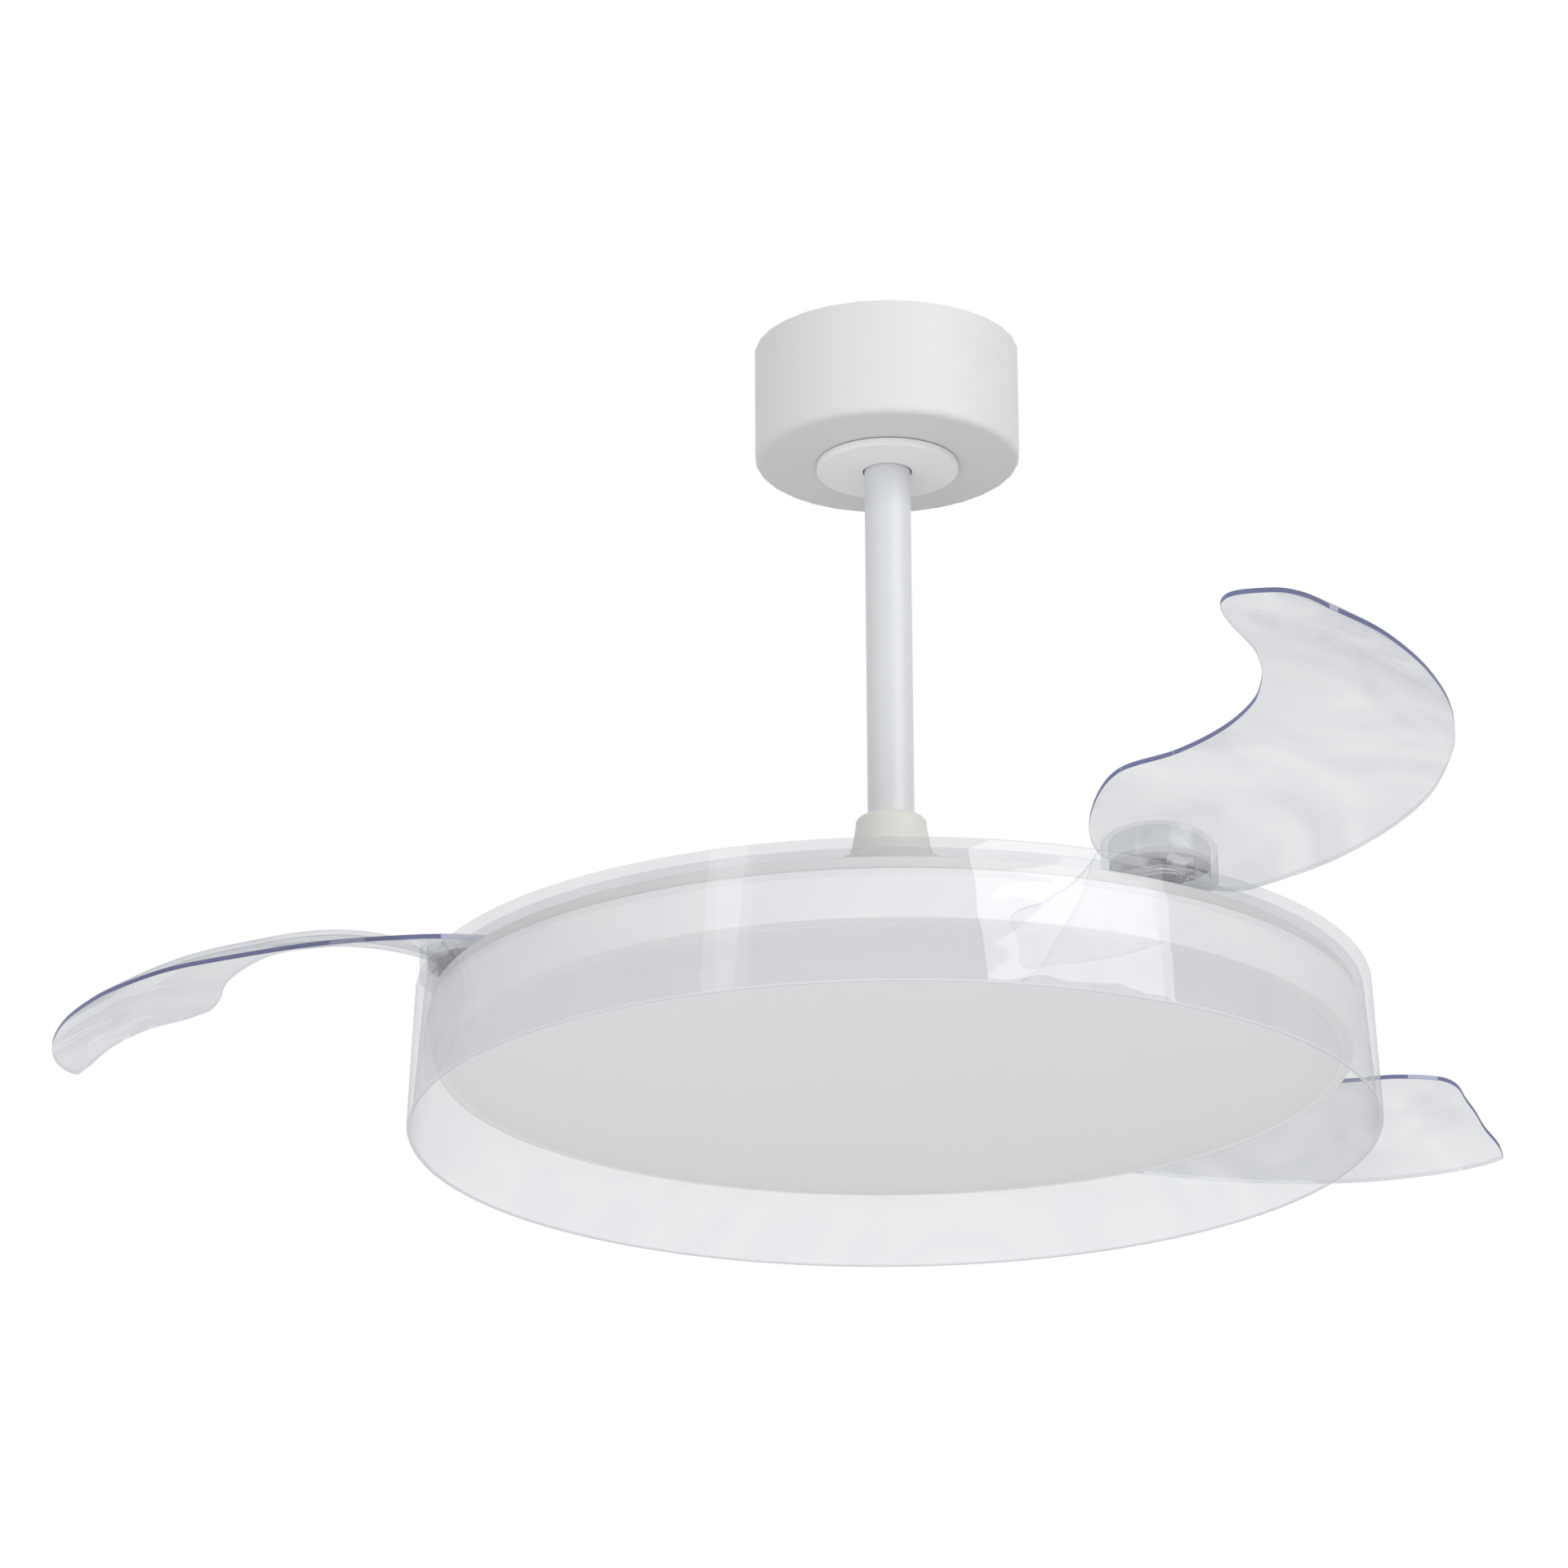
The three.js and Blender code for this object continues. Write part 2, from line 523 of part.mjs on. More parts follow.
function bladeTurn(i) {
  return (360 * i) / BLADES;
}

function clearPan() {
  const drop = PAN_HEIGHT - PAN_BEVEL;
  const taper = (PAN_RIM_RADIUS - panTopRadius) / drop;
  let body = turned([
    [PAN_RIM_RADIUS - taper, rimHeight + PAN_BEVEL], [panTopRadius, panTop - PAN_BEVEL],
    [panTopRadius - PAN_BEVEL, panTop], [PAN_BORE_RADIUS, panTop], [PAN_BORE_RADIUS, panUnderside],
    [panInnerTop - 1, panUnderside], [panInnerTop, panUnderside - 1],
    [PAN_RIM_RADIUS - PAN_WALL - taper, rimHeight + PAN_BEVEL], [PAN_RIM_RADIUS - PAN_WALL + PAN_BEVEL, rimHeight],
    [PAN_RIM_RADIUS - PAN_BEVEL, rimHeight],
  ], PAN_FACETS);
  for (const [x, y] of circle(PAN_SCREWS, PAN_SCREW_CIRCLE, 45)) {
    body = body.subtract(moved(rod(PAN_SCREW_RADIUS + SEAT, panUnderside - 1, panTop + 1, 12), x, y));
  }
  pivots.forEach(([x, y], i) => {
    body = body.subtract(moved(rod(PIVOT_PIN_RADIUS + SEAT, panUnderside - 1, panTop + 1, 16), x, y));
    for (const angle of [stopAngle, -FOLD_TRAVEL - stopAngle]) {
      const a = (STOP_FINGER_ANGLE + bladeTurn(i) + angle) * DEG;
      body = body.add(moved(rod(STOP_POST_RADIUS, panUnderside + PAN_WALL / 2, panTop + STOP_POST_HEIGHT, 12),
        x + STOP_CIRCLE * Math.cos(a), y + STOP_CIRCLE * Math.sin(a)));
    }
  });
  return body;
}

add('clear_pan', clearPan(), clear);
circle(PAN_SCREWS, PAN_SCREW_CIRCLE, 45).forEach(([x, y], i) => {
  add(`pan_screw_${i + 1}`, moved(screw(PAN_SCREW_RADIUS, PAN_SCREW_LENGTH, panUnderside - SEAT), x, y), steel);
});

// ---------------------------------------------------------------- blades
const convexCurve = edgeCurve(CONVEX_EDGE);
const concaveCurve = edgeCurve(CONCAVE_EDGE);

function edgeCurve(points) {
  return new THREE.CatmullRomCurve3(points.map((p) => new THREE.Vector3(...p)), false, 'centripetal');
}

// Point on the blade's upper face: u runs from root to tip, v from the convex to the concave edge.
function bladePoint(u, v) {
  const a = convexCurve.getPointAt(u);
  const b = concaveCurve.getPointAt(u);
  const camber = CAMBER * (1 - u ** 4);
  const rise = v * (1 + camber - camber * v);
  return new THREE.Vector3(a.x + (b.x - a.x) * v, a.y + (b.y - a.y) * v, panTop + a.z + (b.z - a.z) * rise);
}

// A closed shell between the blade's upper face and a lower face under the same outline.
function bladeShell(lowerHeight, spanSteps, chordSteps) {
  const positions = [];
  for (const lower of [false, true]) {
    for (let i = 0; i <= spanSteps; i += 1) {
      for (let j = 0; j <= chordSteps; j += 1) {
        const p = bladePoint(i / spanSteps, j / chordSteps);
        positions.push(p.x, p.y, lower ? lowerHeight(p.z) : p.z);
      }
    }
  }
  const row = chordSteps + 1;
  const sheet = (spanSteps + 1) * row;
  const indices = [];
  const quad = (a, b, c, d) => indices.push(a, b, c, a, c, d);
  for (let i = 0; i < spanSteps; i += 1) {
    for (let j = 0; j < chordSteps; j += 1) {
      const k = i * row + j;
      quad(k, k + row, k + row + 1, k + 1);
      quad(sheet + k, sheet + k + 1, sheet + k + row + 1, sheet + k + row);
    }
    const k = i * row;
    const m = k + chordSteps;
    quad(k, sheet + k, sheet + k + row, k + row);
    quad(m, m + row, sheet + m + row, sheet + m);
  }
  for (let j = 0; j < chordSteps; j += 1) {
    const k = spanSteps * row + j;
    quad(j, j + 1, sheet + j + 1, sheet + j);
    quad(k, sheet + k, sheet + k + 1, k + 1);
  }
  const geometry = new THREE.BufferGeometry();
  geometry.setAttribute('position', new THREE.Float32BufferAttribute(positions, 3));
  geometry.setIndex(indices);
  return solid(geometry);
}

// Blade and cup are one moulding: the cup is a tube cut off under the blade's curved face.
function blade() {
  const leaf = bladeShell((z) => z - BLADE_THICKNESS, BLADE_SPAN_STEPS, BLADE_CHORD_STEPS);
  const underBlade = bladeShell(() => panTop - 1, BLADE_SPAN_STEPS, BLADE_CHORD_STEPS);
  const wallTop = panTop + CONCAVE_EDGE[5][2];
  const cup = tube(CUP_RADIUS, CUP_RADIUS - CUP_WALL, panTop + CUP_LIFT, wallTop, INNER).intersect(underBlade);
  return leaf.add(cup);
}

// Metal insert that fills the cup's foot, runs on the pin, and carries the finger that meets the stops.
function bladeHub() {
  const foot = panTop + SEAT;
  const a = STOP_FINGER_ANGLE;
  const [radial, tangential, height] = STOP_FINGER;
  const finger = block([radial, tangential, height], [STOP_CIRCLE, 0, hubPlateUnderside - height / 2 + 0.5])
    .rotate([0, 0, a]);
  return rod(CUP_RADIUS - CUP_WALL - SEAT, hubPlateUnderside, hubTop, INNER)
    .add(rod(HUB_BOSS_RADIUS, foot, hubPlateUnderside + 0.5)).add(finger)
    .subtract(rod(PIVOT_PIN_RADIUS + SEAT, panTop - 1, hubTop + 1));
}

function pivotPin() {
  const headSeat = hubTop + SEAT;
  const foot = panUnderside - SEAT - PIVOT_NUT_HEIGHT;
  const head = headSeat + PIVOT_HEAD_HEIGHT;
  return turned([[0, foot], [PIVOT_PIN_RADIUS, foot], [PIVOT_PIN_RADIUS, headSeat], [PIVOT_HEAD_RADIUS, headSeat],
    [PIVOT_HEAD_RADIUS, head - 0.8], [PIVOT_HEAD_RADIUS - 0.8, head], [0, head]], COARSE);
}

function pivotNut() {
  return hexNut(2 * PIVOT_NUT_RADIUS, PIVOT_PIN_RADIUS + SEAT, panUnderside - SEAT - PIVOT_NUT_HEIGHT,
    panUnderside - SEAT);
}

// Torsion spring that folds the blade back when the fan stops: a helix with a short leg at each end.
function returnSpring() {
  const stepsPerTurn = 8;
  const wire = SPRING_WIRE / 2;
  const low = panTop + SEAT + wire;
  const path = [];
  const count = SPRING_TURNS * stepsPerTurn;
  const at = (turn) => {
    const a = 2 * Math.PI * turn;
    return new THREE.Vector3(SPRING_RADIUS * Math.cos(a), SPRING_RADIUS * Math.sin(a), low + SPRING_PITCH * turn);
  };
  path.push(at(0).add(new THREE.Vector3(SPRING_LEG * 0.55, -SPRING_LEG * 0.8, 0)));
  for (let i = 0; i <= count; i += 1) path.push(at(i / stepsPerTurn));
  path.push(at(SPRING_TURNS).add(new THREE.Vector3(SPRING_LEG * 0.55, SPRING_LEG * 0.8, 0)));
  let gap = Infinity;
  for (let i = 1; i < path.length - 1; i += 1) {
    for (let j = i + stepsPerTurn / 2; j < path.length - 1; j += 1) {
      gap = Math.min(gap, path[i].distanceTo(path[j]) - SPRING_WIRE);
    }
  }
  return { body: wireAlong(path, wire, 5), gap };
}

// A round wire through the points, its section turned at each point to halve the bend.
function wireAlong(path, radius, sides) {
  const positions = [];
  path.forEach((p, i) => {
    const before = path[Math.max(i - 1, 0)];
    const after = path[Math.min(i + 1, path.length - 1)];
    const along = after.clone().sub(before).normalize();
    const out = new THREE.Vector3(0, 0, 1).cross(along).normalize();
    const up = along.clone().cross(out);
    for (let k = 0; k < sides; k += 1) {
      const a = (2 * Math.PI * k) / sides;
      const q = p.clone().addScaledVector(out, radius * Math.cos(a)).addScaledVector(up, radius * Math.sin(a));
      positions.push(q.x, q.y, q.z);
    }
  });
  const indices = [];
  for (let i = 0; i < path.length - 1; i += 1) {
    for (let k = 0; k < sides; k += 1) {
      const a = i * sides + k;
      const b = i * sides + ((k + 1) % sides);
      indices.push(a, b, b + sides, a, b + sides, a + sides);
    }
  }
  const last = (path.length - 1) * sides;
  for (let k = 1; k < sides - 1; k += 1) {
    indices.push(0, k + 1, k, last, last + k, last + k + 1);
  }
  const geometry = new THREE.BufferGeometry();
  geometry.setAttribute('position', new THREE.Float32BufferAttribute(positions, 3));
  geometry.setIndex(indices);
  return solid(geometry);
}

const bladeBody = blade();
const hubBody = bladeHub();
const spring = returnSpring();
console.log(`return spring: least gap between turns ${spring.gap.toFixed(2)} mm`);
pivots.forEach(([x, y], i) => {
  const n = i + 1;
  const socket = new THREE.Group();
  socket.position.set(x, y, 0);
  socket.rotation.z = bladeTurn(i) * DEG;
  fan.add(socket);
  add(`pivot_pin_${n}`, pivotPin(), steel, socket);
  add(`pivot_nut_${n}`, pivotNut(), steel, socket);
  add(`return_spring_${n}`, spring.body, steel, socket);
  const swing = new THREE.Group();
  swing.rotation.z = -SHORT_OF_OPEN[i] * DEG;
  socket.add(swing);
  add(`blade_${n}`, bladeBody, clear, swing);
  add(`blade_hub_${n}`, hubBody, aluminium, swing);
});

// ---------------------------------------------------------------- lamp
function lampTray() {
  const bore = SHAFT_RADIUS + SEAT;
  const skirt = trimFootRadius - 1.1;
  const step = trayTop - TRAY_HEIGHT;
  const foot = trimFoot + TRIM_LIP + 7;
  const [proud, bead] = TRAY_BEAD;
  return turned([
    [bore, trayTop], [trayRadius - 0.8, trayTop], [trayRadius, trayTop - 0.8], [trayRadius, step + bead + 0.3],
    [trayRadius + proud, step + bead - 0.4], [trayRadius + proud, step], [skirt, step],
    [skirt, foot], [skirt - TRAY_WALL, foot], [skirt - TRAY_WALL, step + TRAY_WALL],
    [trayRadius - TRAY_WALL, step + TRAY_WALL], [trayRadius - TRAY_WALL, trayUnderside], [bore, trayUnderside],
  ], FINE);
}

function trimRing() {
  const lipInner = diffuserRadius + SEAT;
  const lipTop = trimFoot + TRIM_LIP;
  return turned([
    [lipInner, lipTop], [lipInner, trimFoot + 1], [lipInner + 1, trimFoot],
    ...arc(trimFootRadius - 2, trimFoot + 2, 2, -90, -10, 2),
    [trimTopRadius, trimTop], [trimTopRadius - TRIM_WALL, trimTop], [trimFootRadius - TRIM_WALL + 0.6, lipTop],
  ], FINE);
}

function diffuser() {
  const lipTop = trimFoot + TRIM_LIP;
  const flangeFoot = lipTop + SEAT;
  const crown = Array.from({ length: 5 }, (_, i) => {
    const t = i / 4;
    return [diffuserRadius * t, trimFoot - DIFFUSER_CROWN * (1 - t * t)];
  });
  const inner = diffuserRadius - DIFFUSER_WALL;
  return turned([
    ...crown, [diffuserRadius, flangeFoot], [diffuserRadius + DIFFUSER_FLANGE, flangeFoot],
    [diffuserRadius + DIFFUSER_FLANGE, flangeFoot + DIFFUSER_WALL], [inner, flangeFoot + DIFFUSER_WALL],
    [inner, trimFoot + DIFFUSER_WALL], [inner / 2, trimFoot + DIFFUSER_WALL - DIFFUSER_CROWN * 0.75],
    [0, trimFoot + DIFFUSER_WALL - DIFFUSER_CROWN],
  ], FINE);
}

add('shaft_spacer', tube(boreClear + SPACER_WALL, boreClear, trayTop + SEAT, motorFoot), steel);
add('lamp_tray', lampTray(), ivory);
add('lamp_nut', hexNut(2 * LAMP_NUT_RADIUS, boreClear, nutTop - LAMP_NUT_HEIGHT, nutTop), steel);
add('led_board', tube(ledBoardRadius, LED_BOARD_BORE, trayUnderside - SEAT - LED_BOARD_THICKNESS,
  trayUnderside - SEAT, INNER), white);
add('led_driver', block(LED_DRIVER, [LED_DRIVER_OFFSET, 0, trayUnderside - SEAT - LED_DRIVER[2] / 2]), white);
add('trim_ring', trimRing(), whitePaint);
add('diffuser', diffuser(), opal);

export default fan;
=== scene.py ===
import math

import bpy
from mathutils import Matrix, Vector
from mathutils.bvhtree import BVHTree
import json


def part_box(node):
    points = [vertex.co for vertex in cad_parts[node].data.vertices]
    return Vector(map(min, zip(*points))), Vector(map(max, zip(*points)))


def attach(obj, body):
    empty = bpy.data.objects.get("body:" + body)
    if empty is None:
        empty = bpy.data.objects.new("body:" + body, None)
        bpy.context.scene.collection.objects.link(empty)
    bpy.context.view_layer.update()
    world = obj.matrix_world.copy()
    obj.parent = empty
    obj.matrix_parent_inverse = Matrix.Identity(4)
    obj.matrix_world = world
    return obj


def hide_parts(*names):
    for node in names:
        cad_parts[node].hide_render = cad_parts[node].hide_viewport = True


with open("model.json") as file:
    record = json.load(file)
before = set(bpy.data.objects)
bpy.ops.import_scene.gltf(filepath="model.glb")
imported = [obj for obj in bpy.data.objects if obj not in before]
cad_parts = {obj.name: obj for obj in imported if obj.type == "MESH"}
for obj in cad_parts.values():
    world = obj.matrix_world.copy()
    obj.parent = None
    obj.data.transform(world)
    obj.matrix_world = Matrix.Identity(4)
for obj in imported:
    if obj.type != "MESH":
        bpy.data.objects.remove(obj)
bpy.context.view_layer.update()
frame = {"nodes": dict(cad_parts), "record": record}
nodes = frame["nodes"]
record = frame["record"]

# ---------------------------------------------------------------- dimensions
# Millimetres, as in the solids; a mesh is scaled to metres when it is made. Angles are in degrees.
MM = 0.001
SEAT = 0.3  # gap between two pieces that bear on each other
ON_AXIS = 1e-6
ROUND_STEPS = 240  # facets of a turned piece
CORNER_STEPS = 5  # facets of a rounded corner
DRUM_STEPS = 48
MERGE_DISTANCE = 1e-6  # metres
SOLID_CREASE = 28  # a sharper edge than this stays sharp: on the solids, on the pieces made here
PIECE_CREASE = 35

PAN_RIM_RADIUS = 275
PAN_TOP_RADIUS = 271
PAN_HEIGHT = 82
PAN_WALL = 3
PAN_BORE_RADIUS = 60
PAN_BORE_ROUND = 0.4
PAN_SHOULDER = 1.3  # outer corner between wall and top
PAN_HOLLOW = 2.5  # inner corner between wall and top
PAN_INNER_DRAW = 0.6  # the hollow's corner stands in from the wall by this
PAN_LIP = 1.2  # roundness of the rim
PAN_LIP_MARGIN = 0.1
SHOULDER_DEPTH = 5  # reach of the lines round the shoulder, down the wall and in over the top
SHOULDER_WIDTH = 16
PAN_SCREWS = 4
PAN_SCREW_CIRCLE = 72
PAN_SCREW_AZIMUTH = 45
PAN_SCREW_HOLE = 2.3
HOLE_OVERRUN = 1  # a hole's cutter reaches this far past both faces
PIVOT_CIRCLE = 237.4
PIVOT_HOLE = 4.3
PIVOT_AZIMUTH = -52.4
PIVOT_PITCH = 120
FOLD_TRAVEL = 112
STOP_CIRCLE = 20
STOP_POST_RADIUS = 2.5
STOP_POST_HEIGHT = 7
STOP_POST_ROOT = 1  # the post starts this far above the top's underside
STOP_FINGER_ANGLE = 90
STOP_REACH = 5.3  # from the finger's centre to that of the post it meets
STOP_ANGLE = math.degrees(STOP_REACH / STOP_CIRCLE)

BLADES = {  # node: (turn of its pivot about the fan's axis, how far it hangs back from its open stop, body)
    "blade_1": (0, 0, "near_blade"),
    "blade_2": (PIVOT_PITCH, 8.5, "far_blade"),
    "blade_3": (2 * PIVOT_PITCH, 25, "left_blade"),
}
BLADE_THICKNESS = 2.8
BLADE_SPAN_STEPS = 110
BLADE_CHORD_STEPS = 14
BLADE_EDGE_ROUND = 0.45
BLADE_EDGE_SEGMENTS = 2
BLADE_EDGE_ANGLE = 50
EDGE_SAMPLES = 600
CAMBER = 0.92
CAMBER_FADE = 4  # the power with which the camber dies away to the tip
CUP_RADIUS = 31.6
CUP_WALL = 4
CUP_LIFT = 0.4
CUP_FOOT_EDGE = 0.5  # bevel round the cup's foot
CUP_SUNK = 0.4  # how far the wall's upper edge reaches into the blade
CUP_OPEN_HEIGHT = 20  # height of the wall above the pan where no blade lies over it
CUP_STEPS = 96
CUP_RINGS = 8
# The blade's outline as two edges from root to tip: x, y from the pivot, height above the pan's top.
CONVEX_EDGE = [
    (4, 39, 15), (45, 36, 10.5), (56, 28, 10.5), (92, -10, 11), (123, -64, 12), (139, -108.5, 14),
    (145.5, -165, 16), (144.5, -193, 16.5), (139.5, -226.5, 17.5), (130.5, -257.5, 18.5),
    (118, -286.5, 20), (98, -318, 22.5), (81, -335, 24.5), (71.7, -341.5, 26.3),
]
CONCAVE_EDGE = [
    (-4, 38, 17), (-33, 8, 24), (-37, -45, 30), (-24, -76, 39), (6.5, -78, 48.5), (32, -112.5, 50),
    (45, -143, 52.5), (47.5, -164, 53.5), (47, -187.5, 53.5), (42, -214, 54), (35, -231, 55),
    (28.5, -245, 56), (22, -269.5, 56), (23.5, -280, 56), (28.5, -290, 54.5), (41.5, -302, 51),
    (51, -313, 46.5), (60, -323.5, 40), (66.5, -336.5, 31.5), (71.7, -341.5, 26.3),
]

TRIM_TOP_RADIUS = 263.7
TRIM_FOOT_RADIUS = 260
TRIM_WALL = 2
TRIM_LIP = 3.6
TRIM_FLARE = 0.6  # the wall is thinner than at the top by this where it meets the lip
DIFFUSER_RADIUS = 251.7
DIFFUSER_CROWN = 3
DIFFUSER_WALL = 2
DIFFUSER_FLANGE = 4.8
CROWN_STEPS = 12
TRAY_RADIUS = 262.5
TRAY_HEIGHT = 11.2
TRAY_WALL = 1.5
TRAY_BEAD = 3.6  # height of the bead round the tray's lower edge
TRAY_BEAD_PROUD = 0.7
TRAY_BEAD_SLOPE = 0.2
TRAY_SKIRT_RADIUS = 258.9
TRAY_SKIRT_LIFT = 7  # the skirt ends this far above the trim ring's lip
TRAY_BORE_RADIUS = 10.3

PAN_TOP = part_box("clear_pan")[0].z / MM + PAN_HEIGHT
TRIM_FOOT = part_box("trim_ring")[0].z / MM
TRIM_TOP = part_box("trim_ring")[1].z / MM
TRAY_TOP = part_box("lamp_tray")[1].z / MM
TRAY_STEP = TRAY_TOP - TRAY_HEIGHT

# ---------------------------------------------------------------- camera
# Where the photograph was taken from: metres in the row frame, angles in radians.
CAMERA_AT = Vector((0.0, -3.4864, -1.5455))
PITCH = 0.3510
YAW = -0.0176
ROLL = -0.0049
LENS = 148.31
SENSOR = 36
VIEW_END = 100


def make_camera():
    look = Vector((math.sin(YAW) * math.cos(PITCH), math.cos(YAW) * math.cos(PITCH), math.sin(PITCH)))
    side = Vector((math.cos(YAW), -math.sin(YAW), 0))
    up = side.cross(look)
    right = side * math.cos(ROLL) + up * math.sin(ROLL)
    above = up * math.cos(ROLL) - side * math.sin(ROLL)
    camera = bpy.data.objects.new("camera", bpy.data.cameras.new("camera"))
    camera.data.lens = LENS
    camera.data.sensor_width = SENSOR
    camera.data.clip_end = VIEW_END
    turn = Matrix((right, above, -look)).transposed().to_4x4()
    camera.matrix_world = Matrix.Translation(CAMERA_AT) @ turn
    bpy.context.scene.collection.objects.link(camera)
    bpy.context.scene.camera = camera


# ---------------------------------------------------------------- shader nodes
def new_material(name):
    material = bpy.data.materials.new(name)
    material.use_nodes = True
    material.node_tree.nodes.clear()
    output = material.node_tree.nodes.new("ShaderNodeOutputMaterial")
    return material, material.node_tree, output


def find_node(tree, kind):
    return next(node for node in tree.nodes if node.type == kind)


def feed(tree, value, socket):
    """Gives the socket a number, a colour or what another socket puts out."""
    if isinstance(value, (tuple, list)):
        socket.default_value = (*value, 1)
    elif isinstance(value, (int, float)):
        socket.default_value = value
    else:
        tree.links.new(value, socket)


def math_node(tree, operation, *values):
    node = tree.nodes.new("ShaderNodeMath")
    node.operation = operation
    for value, socket in zip(values, node.inputs):
        feed(tree, value, socket)
    return node.outputs["Value"]


def blend_color(tree, factor, first, second, mode="MIX"):
    """first turning into second with the factor; each is a colour or a socket."""
    mix = tree.nodes.new("ShaderNodeMix")
    mix.data_type = "RGBA"
    mix.blend_type = mode
    feed(tree, factor, mix.inputs["Factor"])
    feed(tree, first, mix.inputs["A"])
    feed(tree, second, mix.inputs["B"])
    return mix.outputs["Result"]


def blend_shaders(tree, factor, first, second):
    mix = tree.nodes.new("ShaderNodeMixShader")
    feed(tree, factor, mix.inputs["Fac"])
    tree.links.new(first.outputs[0], mix.inputs[1])
    tree.links.new(second.outputs[0], mix.inputs[2])
    return mix


def place_axes(tree):
    """The point's x, y and z in the object's own metres."""
    place = tree.nodes.new("ShaderNodeTexCoord")
    split = tree.nodes.new("ShaderNodeSeparateXYZ")
    tree.links.new(place.outputs["Object"], split.inputs["Vector"])
    return [split.outputs[axis] for axis in "XYZ"]


def noise(tree, scale, detail=2.0, distortion=0.0, stretch=(1, 1, 1)):
    """Noise in the object's own metres, stretched along its axes."""
    place = tree.nodes.new("ShaderNodeTexCoord")
    mapping = tree.nodes.new("ShaderNodeMapping")
    mapping.inputs["Scale"].default_value = stretch
    texture = tree.nodes.new("ShaderNodeTexNoise")
    texture.inputs["Scale"].default_value = scale
    texture.inputs["Detail"].default_value = detail
    texture.inputs["Distortion"].default_value = distortion
    tree.links.new(place.outputs["Object"], mapping.inputs["Vector"])
    tree.links.new(mapping.outputs["Vector"], texture.inputs["Vector"])
    return texture.outputs["Fac"]


def between(tree, factor, low, high):
    """A value that runs from low to high over the middle half of the factor, where noise mostly lies."""
    span = tree.nodes.new("ShaderNodeMapRange")
    span.inputs["From Min"].default_value = 0.25
    span.inputs["From Max"].default_value = 0.75
    span.inputs["To Min"].default_value = low
    span.inputs["To Max"].default_value = high
    tree.links.new(factor, span.inputs["Value"])
    return span.outputs["Result"]


def bumped(tree, height, strength, distance):
    rise = tree.nodes.new("ShaderNodeBump")
    rise.inputs["Strength"].default_value = strength
    rise.inputs["Distance"].default_value = distance
    tree.links.new(height, rise.inputs["Height"])
    return rise.outputs["Normal"]


# ---------------------------------------------------------------- opaque materials
GRAIN_STRENGTH = 0.5
GRAIN_DEPTH = 0.00004  # metres
CLOUD_SCALE = 14
GLOSS_SPREAD = 0.1  # share by which the roughness varies


def moulded(name, color, roughness, grain=1600, mottle=0.02, metallic=0.0, stretch=(1, 1, 1)):
    """Plastic, paint or metal: a fine grain in the bump, and colour and gloss that vary a little."""
    material, tree, output = new_material(name)
    shader = tree.nodes.new("ShaderNodeBsdfPrincipled")
    shader.inputs["Metallic"].default_value = metallic
    cloud = noise(tree, CLOUD_SCALE, detail=3)
    fine = noise(tree, grain, stretch=stretch)
    dark = [c * (1 - mottle) for c in color]
    rough = between(tree, fine, roughness * (1 - GLOSS_SPREAD), roughness * (1 + GLOSS_SPREAD))
    tree.links.new(blend_color(tree, cloud, dark, color), shader.inputs["Base Color"])
    tree.links.new(rough, shader.inputs["Roughness"])
    tree.links.new(bumped(tree, fine, GRAIN_STRENGTH, GRAIN_DEPTH), shader.inputs["Normal"])
    tree.links.new(shader.outputs["BSDF"], output.inputs["Surface"])
    return material


def tray_enamel(name, upper, bead):
    """The tray's enamel: darker above the rolled bead round its lower edge, whiter on the bead."""
    material = moulded(name, upper, 0.45, grain=900)
    tree = material.node_tree
    shader = find_node(tree, "BSDF_PRINCIPLED")
    cream = shader.inputs["Base Color"].links[0].from_socket
    height = place_axes(tree)[2]
    is_bead = math_node(tree, "LESS_THAN", height, (TRAY_STEP + TRAY_BEAD) * MM)
    tree.links.new(blend_color(tree, is_bead, cream, bead), shader.inputs["Base Color"])
    return material


def frosted(name, color, cover):
    """A pale matt body that lets a share of the light straight through, as milky clear plastic does; on the
    hub it is painted light that keeps the hub bright in the shade inside the cup.
    """
    material = moulded(name, color, 0.5)
    tree = material.node_tree
    clear = tree.nodes.new("ShaderNodeBsdfTransparent")
    mix = blend_shaders(tree, cover, clear, find_node(tree, "BSDF_PRINCIPLED"))
    tree.links.new(mix.outputs["Shader"], find_node(tree, "OUTPUT_MATERIAL").inputs["Surface"])
    return material


# ---------------------------------------------------------------- clear materials
LIT_THROUGH = (0.99, 0.99, 0.99)  # what a face leaves of the light for the pieces behind it
MILK = (0.93, 0.935, 0.96)
GRAZING_POWER = 14.0  # how late the grazing tint sets in as the face turns away
STREAK_SCALE = 7
STREAK_TINT = (1.0, 1.005, 1.015)
SKIN_BLEND = 0.5
SKIN_POWER = 5.0  # how the skin's mirroring rises as the face turns away, and to what share
SKIN_RISE = 0.4
SKIN_ROUGHNESS = (0.004, 0.016)
WAVE_SCALE = 14
WAVE_DEPTH = 0.004  # metres
LINE_SCALE = 240  # lines round the shoulder: their density, and how fast they change round the axis
LINE_DRIFT = 2.2


